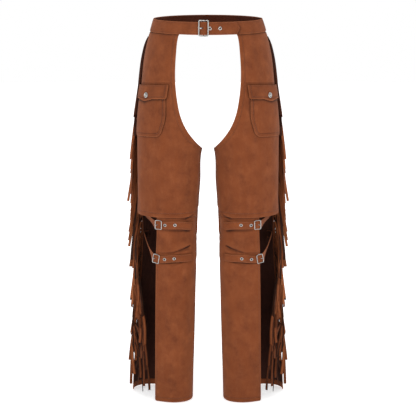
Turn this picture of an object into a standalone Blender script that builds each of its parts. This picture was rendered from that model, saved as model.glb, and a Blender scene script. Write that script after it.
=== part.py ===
"""Fringed suede chaps in their worn, hollow form, for Blender 4.5. Metres, +Z up, front at -Y.

The origin is the centre of the waistband. Both legs are tubes of cut panels on one smooth leg surface,
which is an ellipse at each height. The right leg (the wearer's, at -X) is modelled, and the left is its
mirror image. The belt, which isn't symmetric, is made once.
"""

import math

import bmesh
import bpy
import numpy as np
from mathutils import Matrix, Vector

# ---------------------------------------------------------------- driving dimensions
SUEDE = 0.0020  # thickness of the leg panels
PATCH = 0.0016  # pocket and flap
SEAM_GAP = 0.0003  # between pieces that are sewn together
FACET_ROOM = 0.0005  # more room where one curved piece lies on another, for their flat facets
STRAP_THICK = 0.0020
STRAP_WIDTH = 0.020

HEM_Z = -1.0105
KNEE_HEM_Z = -0.4985  # hem of the thigh panel, which laps over the lower front
KNEE_TUCK_Z = -0.483  # top edge of the lower front, under that hem
TUCK_START_Z = -0.538  # from here down the lower front comes out to the leg's own surface
TUCK_END_Z = -0.590
WAIST_HEIGHT = 0.032
WAIST_THICK = 0.0024
WAIST_LIFT = 0.0020  # the band's middle over the origin, at its sides
WAIST_TILT = 0.09  # rise of the waistband per metre towards the back
TILT_DEPTH = 0.06  # and of the panels' rows, down to this far under their top
WAIST_HALF_X = (0.1515, 0.1415)  # at its lower and its upper edge
WAIST_HALF_Y = (0.1040, 0.1000)
WAIST_RADIUS = 0.143  # its radius near the front, for distances along it
PANEL_TOP_Z = WAIST_LIFT - WAIST_HEIGHT / 2 - 0.0008

# The leg's ellipse at each height: x of its outermost and innermost points, y of its centre,
# half its depth, and how far its outer side lies behind its centre. Above the crotch the
# ellipse grows into the hip, so its inner point lies past the middle of the body.
SECTION_COLUMNS = ("z", "outer_x", "inner_x", "mid_y", "half_depth", "skew")
SECTIONS = np.array([
    (0.020, -0.1415, 0.1415, 0.000, 0.100, 0.000),
    (-0.015, -0.1512, 0.1512, 0.000, 0.104, 0.000),
    (-0.082, -0.1675, 0.1180, -0.001, 0.106, 0.000),
    (-0.160, -0.1764, 0.0700, -0.003, 0.103, 0.002),
    (-0.242, -0.1853, 0.0200, -0.005, 0.095, 0.004),
    (-0.323, -0.1886, -0.0162, -0.008, 0.087, 0.007),
    (-0.410, -0.1890, -0.0215, -0.010, 0.079, 0.010),
    (-0.4975, -0.1892, -0.0276, -0.012, 0.0745, 0.012),
    (-0.620, -0.1935, -0.0318, -0.008, 0.0730, 0.017),
    (-0.750, -0.1985, -0.0365, -0.004, 0.0725, 0.022),
    (HEM_Z, -0.2105, -0.0430, 0.0045, 0.0708, 0.0315),
])

# Inner edge of the front panel from the waistband down to the crotch, and of the back panel.
FRONT_EDGE = np.array([  # z, x
    (-0.015, -0.0730),
    (-0.041, -0.0775),
    (-0.076, -0.0820),
    (-0.147, -0.0833),
    (-0.188, -0.0790),
    (-0.229, -0.0707),
    (-0.250, -0.0630),
    (-0.271, -0.0520),
    (-0.2935, -0.0364),
    (-0.3150, -0.0190),
])
CROTCH_Z = -0.323
BACK_EDGE = np.array([  # z, x
    (-0.015, -0.0960),
    (-0.082, -0.1080),
    (-0.160, -0.1120),
    (-0.225, -0.1040),
    (-0.270, -0.0830),
    (-0.300, -0.0580),
    (-0.330, -0.0240),
])
BACK_CROTCH_Z = -0.342

# The outseam, where the fringe is sewn; below the knee it is the back panel's free front edge.
OUTSEAM = np.array([  # z, angle round the leg in degrees, 0 at the front and 90 outermost
    (-0.015, 96.0),
    (-0.200, 106.0),
    (-0.4975, 119.0),
    (-0.600, 122.0),
    (-0.780, 109.0),
    (HEM_Z, 86.0),
])
FREE_EDGE = np.array([  # z, angle of the lower front's free outer edge
    (KNEE_TUCK_Z, 20.2),
    (-0.725, 17.0),
    (HEM_Z, 12.3),
])
INSEAM = math.radians(-90.0)

POCKET_TOP_Z = -0.156
POCKET_BOTTOM_Z = -0.2835
POCKET_EDGE = np.array([  # z, x of its inner edge, which turns outward to its lower corner
    (-0.150, -0.1080),
    (-0.230, -0.1090),
    (-0.246, -0.1118),
    (-0.262, -0.1172),
    (-0.275, -0.1196),
    (-0.290, -0.1204),
])
POCKET_OUTER_ANGLE = 87.0
POCKET_ROWS = (POCKET_TOP_Z, -0.195, -0.230, -0.248, -0.265, POCKET_BOTTOM_Z)
POCKET_CORNER = 0.017
POCKET_SLANT = 0.0045  # how much lower the pocket and its flap are at their outer side
FLAP_TOP_Z = -0.150
FLAP_BOTTOM_Z = -0.186
FLAP_POINT = 0.0070  # depth of the point below the flap's sides
FLAP_POINT_SHARPNESS = 1.9
FLAP_CORNER = 0.0055
FLAP_WIDTH = 0.118  # along its lower edge
FLAP_COLUMNS = (0.0, 0.02, 0.06, 0.20, 0.34, 0.44, 0.50, 0.56, 0.66, 0.80, 0.94, 0.98, 1.0)
FLAP_TOP_ANGLES = (23.5, 89.0)
FLAP_BOTTOM_ANGLES = (21.5, 90.0)
FLAP_FLARE = (0.0015, 0.0035)  # how far its lower edge stands off at its inner side, and more outside
BUTTON_RADIUS = 0.0072
BUTTON_HEIGHT = 0.0030
BUTTON_ANGLE = 54.0
BUTTON_Z = -0.1785

# Leg straps: heights at the sewn inner end, the middle, the buckle and the outer end, angles of the
# inner end and the buckle, how much the free stretch turns its face down, and the eyelets' distances
# from the buckle.
STRAPS = {
    "knee": {
        "inner_z": -0.5235,
        "middle_z": -0.5175,
        "buckle_z": -0.5180,
        "outer_z": -0.5080,
        "inner_angle": -59.0,
        "buckle_angle": 15.0,
        "twist": 0.25,
        "eyelets": (0.0170, 0.0436),
    },
    "calf": {
        "inner_z": -0.6065,
        "middle_z": -0.6060,
        "buckle_z": -0.6100,
        "outer_z": -0.5680,
        "inner_angle": -58.0,
        "buckle_angle": 17.0,
        "twist": 0.45,
        "eyelets": (0.0222, 0.0470),
    },
}
STRAP_ANCHOR = 127.0  # angle at which a strap meets the back panel's inner face
STRAP_ANCHOR_TURNS = (0.06, 0.13, 0.20)  # and how far on it is sewn, in radians
STRAP_HEADING = 0.10  # how straight it leaves the buckle and arrives, as shares of its reach
STRAP_ARRIVAL = 0.10

# Buckles: a bowed frame of round wire with a bar across its middle.
BELT_BUCKLE = {"half_length": 0.0118, "half_width": 0.0193, "wire": 0.0016, "bar": 0.0014}
LEG_BUCKLE = {"half_length": 0.0088, "half_width": 0.0116, "wire": 0.0012, "bar": 0.0010}
BUCKLE_CORNER = 0.0026
CLEAR = 0.0004  # free space between a strap and the bars it weaves round
SLOT_ROOM = 0.0007  # each side of the prong in its slot
SLOT_TOP = 0.016  # the slot's cutter ends above every layer

EYELET_HOLE = 0.0023
EYELET_BARREL = 0.0028
EYELET_FLANGE = 0.0045
EYELET_RISE = 0.0011  # height of the flange over the strap's face
EYELET_PUNCH = 0.0031  # hole in the leather round the barrel
EYELET_SIDES = 9
RIVET_RADIUS = 0.0040
RIVET_HEIGHT = 0.0014
RIVET_SPACING = 0.010
RIVET_TURN = 0.09  # past the strap's anchor, in radians

BELT_X = -0.0109  # middle of the waist buckle
BELT_EYELETS = (0.0155, 0.0408)
BELT_FOLD_END = 0.030  # the band's end, folded back behind the bar
CHAPE_ENDS = (0.032, 0.060)  # where the folded band comes back in to the waist's own line
TONGUE_START = -0.075  # the tongue leaves that line before the buckle
TONGUE_SETTLES = (0.032, 0.062)  # and comes down on the band behind it
TONGUE_END = 0.0950
TONGUE_POINT = 0.0090

FRINGE_TOP_Z = -0.024
FRINGE_BOTTOM_Z = -0.790
STRANDS = 60
STRAND_LENGTH = 0.215
STRAND_WIDTH = 0.0065
STRAND_THICK = 0.0010
STRIP_THICK = 0.0016
STRIP_COLUMNS = (0.0010, 0.0075, 0.0095, 0.0160)  # front root column, the bare middle, rear root column
STRAND_STEPS = 3  # and one more on the stronger curves above and below these roots
PLAIN_ROOTS_Z = (-0.200, -0.500)
STRAND_START = 0.0030  # a strand is free of the strip this far below its slot
STRAND_LIFT = 0.0012
STRAND_RISE = np.array([  # z of its root, how fast a strand stands off the leg per metre of its length
    (FRINGE_TOP_Z, 0.078),
    (-0.200, 0.080),
    (-0.450, 0.092),
    (-0.600, 0.095),
    (FRINGE_BOTTOM_Z, 0.082),
])
# How far the tips of the front and of the rear strands lie off the seam, by the height of their
# roots; each pair is the range that they spread over.
FRONT_TIPS = np.array([
    (-0.120, -0.016, 0.000),
    (-0.380, -0.068, -0.014),
    (-0.560, -0.088, -0.028),
    (-0.750, -0.086, -0.036),
])
REAR_TIPS = np.array([
    (-0.120, 0.004, 0.018),
    (-0.380, -0.010, 0.014),
    (-0.560, -0.024, 0.006),
    (-0.750, -0.030, -0.006),
])
SPREAD_STEP = 0.58  # spreads the tips evenly over that range, with no two neighbours alike
FALL_IN = 1.05  # share by which the lowest strands hang towards the straight line across the slit
FALL_IN_Z = (-0.500, -0.860)
FALL_IN_TURN = (0.08, 0.50)  # angles in front of the edge at which they begin to, and do so fully
FALL_IN_ROOTS_Z = (-0.420, -0.600)  # only those with their roots under the knee
FOLLOW_EDGE = 0.9  # and share by which they stay in front of the panel's edge, which comes forward

BROWN = (0.235, 0.070, 0.027, 1.0)
SILVER = (0.62, 0.61, 0.59, 1.0)


# ---------------------------------------------------------------- small helpers
def smooth_value(table, column, z):
    """A smooth curve through one column of a table whose first column is the height."""
    heights = table[::-1, 0]
    values = table[::-1, column]
    z = min(max(z, heights[0]), heights[-1])
    slopes = np.gradient(values, heights)
    i = min(max(int(np.searchsorted(heights, z)) - 1, 0), len(heights) - 2)
    step = heights[i + 1] - heights[i]
    t = (z - heights[i]) / step
    return float(
        (2 * t**3 - 3 * t**2 + 1) * values[i]
        + (t**3 - 2 * t**2 + t) * step * slopes[i]
        + (-2 * t**3 + 3 * t**2) * values[i + 1]
        + (t**3 - t**2) * step * slopes[i + 1]
    )


def ramp(value, start, end):
    """0 at start, 1 at end, smooth between them."""
    t = min(max((value - start) / (end - start), 0.0), 1.0)
    return t * t * (3 - 2 * t)


def blend(a, b, t):
    return a + (b - a) * t


def new_collection(name):
    collection = bpy.data.collections.new(name)
    bpy.context.scene.collection.children.link(collection)
    return collection


def principled(name, colour, roughness, metallic):
    material = bpy.data.materials.new(name)
    material.use_nodes = True
    shader = material.node_tree.nodes["Principled BSDF"]
    shader.inputs["Base Color"].default_value = colour
    shader.inputs["Roughness"].default_value = roughness
    shader.inputs["Metallic"].default_value = metallic
    material.diffuse_color = colour
    return material


def piece(name, mesh, material):
    """A named object of the chaps from a mesh."""
    mesh.materials.clear()
    mesh.materials.append(material)
    obj = bpy.data.objects.new(name, mesh)
    PARTS.objects.link(obj)
    return obj


def applied(obj):
    """The object with its modifiers made into its own mesh, or a curve made into a welded mesh."""
    depsgraph = bpy.context.evaluated_depsgraph_get()
    depsgraph.update()
    mesh = bpy.data.meshes.new_from_object(obj.evaluated_get(depsgraph))
    mesh.transform(obj.matrix_world)
    name = obj.name
    material = obj.data.materials[0]
    bpy.data.objects.remove(obj)
    whole = bmesh.new()
    whole.from_mesh(mesh)
    bmesh.ops.remove_doubles(whole, verts=whole.verts, dist=0.00002)
    whole.to_mesh(mesh)
    whole.free()
    return piece(name, mesh, material)


def both_legs(obj):
    """Names the right leg's piece NAME_r and adds its mirror image, NAME_l."""
    right = applied(obj)
    name = right.name
    right.name = f"{name}_r"
    mirrored = right.data.copy()
    mirrored.transform(Matrix.Scale(-1, 4, (1, 0, 0)))
    mirrored.flip_normals()
    piece(f"{name}_l", mirrored, right.data.materials[0])


def sheet(name, rows, thickness, material):
    """A wall of cloth round the open surface through a grid of points."""
    columns = len(rows[0])
    points = [point for row in rows for point in row]
    faces = [
        (i * columns + j, i * columns + j + 1, (i + 1) * columns + j + 1, (i + 1) * columns + j)
        for i in range(len(rows) - 1)
        for j in range(columns - 1)
    ]
    mesh = bpy.data.meshes.new(name)
    mesh.from_pydata(points, [], faces)
    mesh.shade_smooth()
    obj = piece(name, mesh, material)
    wall = obj.modifiers.new("wall", "SOLIDIFY")
    wall.thickness = thickness
    wall.offset = 0.0
    wall.use_even_offset = True
    return obj


def wire(name, points, radius, material, cyclic=False, resolution=1):
    """A round wire or rod through points, as a closed mesh."""
    curve = bpy.data.curves.new(name, "CURVE")
    curve.dimensions = "3D"
    curve.bevel_depth = radius
    curve.bevel_resolution = resolution
    curve.use_fill_caps = not cyclic
    spline = curve.splines.new("POLY")
    spline.points.add(len(points) - 1)
    for target, point in zip(spline.points, points):
        target.co = (*point, 1.0)
    spline.use_cyclic_u = cyclic
    curve.materials.append(material)
    obj = bpy.data.objects.new(name, curve)
    PARTS.objects.link(obj)
    return applied(obj)


def turned(name, profile, steps, material):
    """A shape turned about Z from its profile, which runs down its outer side."""
    closed = profile[0][0] > 0
    mesh = bpy.data.meshes.new(name)
    count = len(profile)
    edges = [(i, (i + 1) % count) for i in range(count if closed else count - 1)]
    mesh.from_pydata([(r, 0.0, z) for r, z in profile], edges, [])
    obj = piece(name, mesh, material)
    screw = obj.modifiers.new("turn", "SCREW")
    screw.steps = steps
    screw.render_steps = steps
    screw.use_merge_vertices = True
    screw.merge_threshold = 0.00002
    return applied(obj)


def placed(obj, frame):
    """Moves a piece made at the origin to a frame, by its mesh."""
    obj.data.transform(frame)
    return obj


def cutter_box(low, high, frame):
    """A box cutter between two corners, in a frame."""
    bpy.ops.mesh.primitive_cube_add(size=1.0)
    obj = bpy.context.active_object
    size = Vector(high) - Vector(low)
    middle = (Vector(high) + Vector(low)) / 2
    obj.data.transform(frame @ Matrix.Translation(middle) @ Matrix.Diagonal((*size, 1.0)))
    return as_cutter(obj)


def cutter_punch(radius, height, frame):
    """A round punch along the frame's Z axis."""
    bpy.ops.mesh.primitive_cylinder_add(vertices=12, radius=radius, depth=height)
    obj = bpy.context.active_object
    obj.data.transform(frame)
    return as_cutter(obj)


def as_cutter(obj):
    for collection in list(obj.users_collection):
        collection.objects.unlink(obj)
    CUTTERS.objects.link(obj)
    obj.hide_render = True
    obj.display_type = "WIRE"
    return obj


def combined(obj, other, operation):
    """The piece after one exact boolean with another object, which is then removed."""
    boolean = obj.modifiers.new("boolean", "BOOLEAN")
    boolean.operation = operation
    boolean.object = other
    result = applied(obj)
    bpy.data.objects.remove(other)
    return result


# ---------------------------------------------------------------- the leg surface
def leg_section(z):
    """Centre x, half width, centre y, half depth and skew of the leg's ellipse at a height."""
    outer, inner, mid_y, half_depth, skew = (
        smooth_value(SECTIONS, column, z) for column in range(1, len(SECTION_COLUMNS))
    )
    return (outer + inner) / 2, (inner - outer) / 2, mid_y, half_depth, skew


def leg_point(angle, z, lift=0.0):
    """A point of the right leg's surface, moved out along its normal by lift."""
    mid_x, half_width, mid_y, half_depth, skew = leg_section(z)
    sine, cosine = math.sin(angle), math.cos(angle)
    point = Vector((mid_x - half_width * sine, mid_y - half_depth * cosine + skew * sine, z))
    if lift:
        point += leg_normal(angle, z) * lift
    return point


def leg_normal(angle, z):
    """The surface's outward direction."""
    step_z, step_angle = 0.002, 0.01
    along = leg_point(angle, z + step_z) - leg_point(angle, z - step_z)
    around = leg_point(angle + step_angle, z) - leg_point(angle - step_angle, z)
    return along.cross(around).normalized()


def edge_angle(table, z, behind=False):
    """Angle at which an edge given by its x meets the leg's ellipse, on its front or its back."""
    mid_x, half_width = leg_section(z)[:2]
    sine = (mid_x - smooth_value(table, 1, z)) / half_width
    angle = math.asin(min(max(sine, -1.0), 1.0))
    return math.pi - angle if behind else angle


def front_inner(z):
    if z <= CROTCH_Z:
        return INSEAM
    last = FRONT_EDGE[-1, 0]
    if z < last:
        return blend(INSEAM, edge_angle(FRONT_EDGE, last), ramp(z, CROTCH_Z, last))
    return edge_angle(FRONT_EDGE, z)


def back_inner(z):
    inseam = INSEAM + 2 * math.pi
    if z <= BACK_CROTCH_Z:
        return inseam
    last = BACK_EDGE[-1, 0]
    if z < last:
        return blend(inseam, edge_angle(BACK_EDGE, last, behind=True), ramp(z, BACK_CROTCH_Z, last))
    return edge_angle(BACK_EDGE, z, behind=True)


def outseam(z):
    return math.radians(smooth_value(OUTSEAM, 1, z))


def free_edge(z):
    return math.radians(smooth_value(FREE_EDGE, 1, z))


def round_corner(distance, radius):
    """How far a hem rises at this distance from its end, where its corner is rounded."""
    inside = radius - max(distance, 0.0)
    return radius - math.sqrt(radius**2 - inside**2) if inside > 0 else 0.0


def panel(name, heights, start, end, columns, corners=(0.0, 0.0), lift=None, top_tilt=False):
    """A leg panel between two edges that depend on the height.

    columns are shares of the way from start to end. corners are the radii of the hem's two
    corners. With top_tilt the top edge follows the tilted waistband.
    """
    rows = []
    for i, z in enumerate(heights):
        row = []
        first, last = start(z), end(z)
        half_width = leg_section(z)[1]
        for share in columns:
            angle = blend(first, last, share)
            height = z
            if i == len(heights) - 1:
                height += round_corner((angle - first) * half_width, corners[0])
                height += round_corner((last - angle) * half_width, corners[1])
            if top_tilt:
                tilt = WAIST_TILT * ramp(z, heights[0] - TILT_DEPTH, heights[0])
                height += tilt * leg_point(angle, z).y
            row.append(leg_point(angle, height, lift(height) if lift else 0.0))
        rows.append(row)
    return sheet(name, rows, SUEDE, SUEDE_BROWN)


def gap_angle(z):
    """Half of a seam's gap as an angle, with a little more for the facets."""
    return (0.5 * SEAM_GAP + 0.0001) / leg_section(z)[1]


# ---------------------------------------------------------------- leg panels
def evenly(first, last, count):
    return [float(value) for value in np.linspace(first, last, count)]


def make_thigh_front():
    """Its rows are close together where its inner edge sweeps in to the crotch."""
    heights = evenly(PANEL_TOP_Z, -0.225, 8) + evenly(-0.240, -0.330, 8) + evenly(-0.365, KNEE_HEM_Z, 5)
    obj = panel(
        "thigh_front",
        heights,
        lambda z: front_inner(z) + gap_angle(z),
        lambda z: outseam(z) - gap_angle(z),
        [0.0, 0.04] + evenly(0.12, 0.90, 9) + [0.97, 1.0],
        corners=(0.004, 0.008),
        top_tilt=True,
    )
    both_legs(obj)


def tucked(z):
    """The lower front lies under the thigh panel's hem, and comes out to its own surface below."""
    return -(SUEDE + SEAM_GAP + 2 * FACET_ROOM) * ramp(z, TUCK_END_Z, TUCK_START_Z)


def make_shin_front():
    """Its rows are close together where it comes out from under the thigh panel's hem."""
    heights = evenly(KNEE_TUCK_Z, TUCK_START_Z, 3) + [-0.562, TUCK_END_Z]
    heights += evenly(-0.640, HEM_Z, 6)
    obj = panel(
        "shin_front",
        heights,
        lambda z: INSEAM + gap_angle(z),
        free_edge,
        [0.0, 0.03, 0.09, 0.24, 0.40, 0.56, 0.72, 0.86, 0.96, 1.0],
        corners=(0.011, 0.004),
        lift=tucked,
    )
    both_legs(obj)


def make_back_panel():
    """Its rows are close together at the seat and where its outer edge turns forward."""
    heights = evenly(PANEL_TOP_Z, -0.215, 6) + evenly(-0.240, -0.345, 6)
    heights += evenly(-0.40, -0.60, 5) + evenly(-0.68, HEM_Z, 5)
    obj = panel(
        "back_panel",
        heights,
        lambda z: outseam(z) + gap_angle(z),
        lambda z: back_inner(z) - gap_angle(z),
        [0.0, 0.03, 0.10] + evenly(0.20, 0.90, 8) + [1.0],
        corners=(0.006, 0.0),
        top_tilt=True,
    )
    both_legs(obj)


# ---------------------------------------------------------------- pocket
def make_pocket():
    last = math.radians(POCKET_OUTER_ANGLE)
    lift = SUEDE / 2 + SEAM_GAP + FACET_ROOM + PATCH / 2
    rows = []
    for z in POCKET_ROWS:
        first = edge_angle(POCKET_EDGE, z)
        low_share = (POCKET_TOP_Z - z) / (POCKET_TOP_Z - POCKET_BOTTOM_Z)
        row = []
        for share in [0.0, 0.06, 0.14] + evenly(0.24, 0.76, 6) + [0.86, 0.94, 1.0]:
            angle = blend(first, last, share)
            half_width = leg_section(z)[1]
            side = min(angle - first, last - angle) * half_width
            rise = round_corner(side, POCKET_CORNER) * ramp(low_share, 0.35, 1.0)
            row.append(leg_point(angle, z + rise - POCKET_SLANT * share, lift))
        rows.append(row)
    both_legs(sheet("pocket", rows, PATCH, SUEDE_BROWN))


def flap_lift(share, level):
    """Height of the flap's middle over the panel's middle."""
    base = SUEDE / 2 + PATCH + 2 * (SEAM_GAP + FACET_ROOM) + PATCH / 2
    return base + level * (FLAP_FLARE[0] + (FLAP_FLARE[1] - FLAP_FLARE[0]) * share**2)


def make_pocket_flap():
    rows = []
    for level in (0.0, 0.5, 1.0):
        first, last = (
            math.radians(blend(top, bottom, level))
            for top, bottom in zip(FLAP_TOP_ANGLES, FLAP_BOTTOM_ANGLES)
        )
        row = []
        for share in FLAP_COLUMNS:
            point = FLAP_POINT * (1 - abs(2 * share - 1)) ** FLAP_POINT_SHARPNESS
            corner = round_corner(min(share, 1 - share) * FLAP_WIDTH, FLAP_CORNER)
            z = blend(FLAP_TOP_Z, FLAP_BOTTOM_Z - point + corner, level)
            z -= POCKET_SLANT * share
            row.append(leg_point(blend(first, last, share), z, flap_lift(share, level)))
        rows.append(row)
    both_legs(sheet("pocket_flap", rows, PATCH, SUEDE_BROWN))


def surface_frame(angle, z, lift):
    """A frame on the leg: Z outward, Y up the leg, X to the right of someone who looks at it."""
    normal = leg_normal(angle, z)
    up = Vector((0, 0, 1))
    up = (up - normal * up.dot(normal)).normalized()
    side = up.cross(normal)
    frame = Matrix((side, up, normal)).transposed().to_4x4()
    frame.translation = leg_point(angle, z, lift)
    return frame


def dome(radius, height):
    """Profile of a round head with a flat back at z = 0."""
    return [
        (0.0, height),
        (radius * 0.55, height * 0.86),
        (radius * 0.88, height * 0.52),
        (radius, height * 0.22),
        (radius, 0.0),
        (0.0, 0.0),
    ]


def make_pocket_button():
    angle = math.radians(BUTTON_ANGLE)
    depth = (FLAP_TOP_Z - BUTTON_Z) / (FLAP_TOP_Z - FLAP_BOTTOM_Z + FLAP_POINT)
    lift = flap_lift(0.5, depth) + PATCH / 2 + SEAM_GAP + FACET_ROOM
    button = turned("pocket_button", dome(BUTTON_RADIUS, BUTTON_HEIGHT), 14, STEEL)
    both_legs(placed(button, surface_frame(angle, BUTTON_Z, lift)))


# ---------------------------------------------------------------- buckles, prongs, eyelets
def bar_heights(size, strap_thick, layers):
    """Heights over the surface of the centre bar and of the frame's end bars.

    layers is how many thicknesses of strap lie under the end bars.
    """
    bar = SEAM_GAP + size["bar"]
    ends = FACET_ROOM + layers * (strap_thick + CLEAR) + CLEAR + size["wire"]
    return bar, ends


def make_buckle(name, size, bar_z, ends_z, frame):
    """A rounded frame, bowed down at its middle to a bar across it. X runs along the strap."""
    length, width = size["half_length"], size["half_width"]
    dip = ends_z - bar_z - 0.5 * size["bar"]
    quarter = [math.radians(a) for a in (0, 45, 90)]
    outline = []
    for turn in range(4):
        sign_x = (1, -1, -1, 1)[turn]
        sign_y = (1, 1, -1, -1)[turn]
        for step in quarter:
            swing = step + turn * math.pi / 2
            x = sign_x * (length - BUCKLE_CORNER) + BUCKLE_CORNER * math.cos(swing)
            y = sign_y * (width - BUCKLE_CORNER) + BUCKLE_CORNER * math.sin(swing)
            outline.append((x, y))
        if turn in (0, 2):
            for share in (0.4, 0.0, -0.4):
                outline.append((sign_x * length * share, sign_y * width))
    points = [
        (x, y, ends_z - dip * math.cos(0.5 * math.pi * x / length) ** 2) for x, y in outline
    ]
    buckle = wire(name, points, size["wire"], STEEL, cyclic=True)
    bpy.ops.mesh.primitive_cylinder_add(vertices=8, radius=size["bar"], depth=2 * width)
    bar = as_cutter(bpy.context.active_object)
    lay_down = Matrix.Translation((0, 0, bar_z)) @ Matrix.Rotation(math.pi / 2, 4, "X")
    bar.data.transform(lay_down)
    return placed(combined(buckle, bar, "UNION"), frame)


def prong_radius(size):
    return 0.62 * size["wire"]


def make_prong(name, size, bar_z, ends_z, frame):
    """From beside the centre bar up through the strap and over the end bar."""
    radius = prong_radius(size)
    start_x = -(size["bar"] + SEAM_GAP + radius)
    top = ends_z + size["wire"] + SEAM_GAP + radius
    bar_x = -size["half_length"]
    points = [
        (start_x, 0, bar_z),
        (start_x - 0.0012, 0, bar_z + 0.45 * (top - bar_z)),
        (blend(start_x, bar_x, 0.45), 0, blend(bar_z, top, 0.86)),
        (blend(start_x, bar_x, 0.75), 0, top + 0.0002),
        (bar_x - 0.0006, 0, top + 0.0001),
        (bar_x - size["wire"] - 0.0002, 0, top - 0.0007),
    ]
    return placed(wire(name, points, radius, STEEL), frame)


def make_eyelet(name, thickness, frame):
    """A pressed ring: a flange over the strap's face and a barrel through it."""
    profile = [
        (EYELET_HOLE + 0.0003, EYELET_RISE),
        (EYELET_FLANGE - 0.0007, EYELET_RISE),
        (EYELET_FLANGE, 0.0004),
        (EYELET_BARREL, 0.0004),
        (EYELET_BARREL, -thickness),
        (EYELET_HOLE, -thickness),
    ]
    return placed(turned(name, profile, EYELET_SIDES, STEEL), frame)


def punched(strap, frame, thickness):
    return combined(strap, cutter_punch(EYELET_PUNCH, 4 * thickness, frame), "DIFFERENCE")


def slotted(strap, size, bar_z, frame):
    """The strap with the slot that the prong comes through."""
    half = prong_radius(size) + SLOT_ROOM
    low = (-0.78 * size["half_length"], -half, bar_z - size["bar"] * 0.9)
    high = (-CLEAR, half, SLOT_TOP)
    return combined(strap, cutter_box(low, high, frame), "DIFFERENCE")


# ---------------------------------------------------------------- leg straps
STRAP_REST = SUEDE / 2 + SEAM_GAP + FACET_ROOM + STRAP_THICK / 2  # its middle over the panel's middle


def strap_height(sizes, share):
    """Height of a strap's line at a share of the way from its buckle to its sewn end."""
    z = blend(sizes["buckle_z"], sizes["middle_z"], ramp(share, 0.0, 0.45))
    return blend(z, sizes["inner_z"], ramp(share, 0.45, 1.0))


def strap_line(strap):
    """Points and outward directions along a strap, from its sewn end through the buckle to its outer end.

    It lies on the lower front, humps over the buckle's bar, leaves the free edge, and crosses the
    open side to the inner face of the back panel.
    """
    sizes = STRAPS[strap]
    inner_angle, buckle_angle = (math.radians(sizes[end]) for end in ("inner_angle", "buckle_angle"))
    bar_z, _ = bar_heights(LEG_BUCKLE, STRAP_THICK, 1)
    hump = SUEDE / 2 + bar_z + LEG_BUCKLE["bar"] + CLEAR + STRAP_THICK / 2 - STRAP_REST
    half = LEG_BUCKLE["half_length"]
    radius = leg_section(sizes["buckle_z"])[1]
    length = (buckle_angle - inner_angle) * radius

    points, normals = [], []
    for distance in evenly(length, 1.5 * half, 10) + evenly(half, -half, 9):
        angle = buckle_angle - distance / radius
        z = strap_height(sizes, distance / length)
        lift = STRAP_REST + tucked(z)
        if abs(distance) < half:
            lift += hump * math.cos(0.5 * math.pi * distance / half) ** 2
        points.append(leg_point(angle, z, lift))
        normals.append(leg_normal(angle, z))

    outer_z = sizes["outer_z"]
    anchor_angle = math.radians(STRAP_ANCHOR)
    inside = -(SUEDE / 2 + 2 * SEAM_GAP + STRAP_THICK / 2)
    leave, anchor = points[-1], leg_point(anchor_angle, outer_z, inside)
    heading = (points[-1] - points[-2]).normalized()
    arrive = (leg_point(anchor_angle + 0.1, outer_z, inside) - anchor).normalized()
    reach = (anchor - leave).length
    first_pull = leave + heading * STRAP_HEADING * reach
    last_pull = anchor - arrive * STRAP_ARRIVAL * reach
    facing, anchor_facing = normals[-1], leg_normal(anchor_angle, outer_z)
    for share in evenly(0.08, 1.0, 9):
        rest = 1 - share
        point = leave * rest**3 + first_pull * 3 * rest**2 * share
        point += last_pull * 3 * rest * share**2 + anchor * share**3
        points.append(point)
        turned_down = Vector((0, 0, -sizes["twist"] * math.sin(math.pi * share) ** 2))
        normals.append((facing.lerp(anchor_facing, share) + turned_down).normalized())
    for turn in STRAP_ANCHOR_TURNS:
        points.append(leg_point(anchor_angle + turn, outer_z, inside))
        normals.append(leg_normal(anchor_angle + turn, outer_z))
    return points, normals


def across(points, normals, i):
    """Direction of the strap's width at a point of its line, upwards."""
    after = points[min(i + 1, len(points) - 1)]
    before = points[max(i - 1, 0)]
    along = (after - before).normalized()
    width = normals[i].cross(along).normalized()
    return width if width.z > 0 else -width


def make_strap(strap):
    sizes = STRAPS[strap]
    buckle_z = sizes["buckle_z"]
    buckle_angle, inner_angle = math.radians(sizes["buckle_angle"]), math.radians(sizes["inner_angle"])
    radius = leg_section(buckle_z)[1]
    points, normals = strap_line(strap)
    rows = []
    for i, point in enumerate(points):
        width = across(points, normals, i)
        rows.append([point + width * STRAP_WIDTH * side for side in (-0.5, 0.5)])
    obj = sheet(f"{strap}_strap", rows, STRAP_THICK, SUEDE_BROWN)

    bar_z, ends_z = bar_heights(LEG_BUCKLE, STRAP_THICK, 1)
    frame = surface_frame(buckle_angle, buckle_z, SUEDE / 2 + tucked(buckle_z))
    obj = slotted(obj, LEG_BUCKLE, bar_z, frame)
    frames = []
    for distance in sizes["eyelets"]:
        angle = buckle_angle - distance / radius
        z = strap_height(sizes, distance / ((buckle_angle - inner_angle) * radius))
        frames.append(surface_frame(angle, z, STRAP_REST + tucked(z)))
    for eyelet_frame in frames:
        obj = punched(obj, eyelet_frame, STRAP_THICK)
    both_legs(obj)
    both_legs(make_buckle(f"{strap}_buckle", LEG_BUCKLE, bar_z, ends_z, frame))
    both_legs(make_prong(f"{strap}_prong", LEG_BUCKLE, bar_z, ends_z, frame))
    for i, eyelet_frame in enumerate(frames, start=1):
        face = eyelet_frame @ Matrix.Translation((0, 0, STRAP_THICK / 2))
        both_legs(make_eyelet(f"{strap}_eyelet_{i}", STRAP_THICK, face))


def make_knee_rivets():
    """Two heads one above the other on the inner face of the knee strap's outer end."""
    angle = math.radians(STRAP_ANCHOR) + RIVET_TURN
    lift = -(SUEDE / 2 + STRAP_THICK + 4 * SEAM_GAP)
    inward = Matrix.Rotation(math.pi, 4, "Y")
    for i, side in enumerate((0.5, -0.5), start=1):
        z = STRAPS["knee"]["outer_z"] + side * RIVET_SPACING
        rivet = turned(f"knee_rivet_{i}", dome(RIVET_RADIUS, RIVET_HEIGHT), 8, STEEL)
        both_legs(placed(rivet, surface_frame(angle, z, lift) @ inward))


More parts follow.
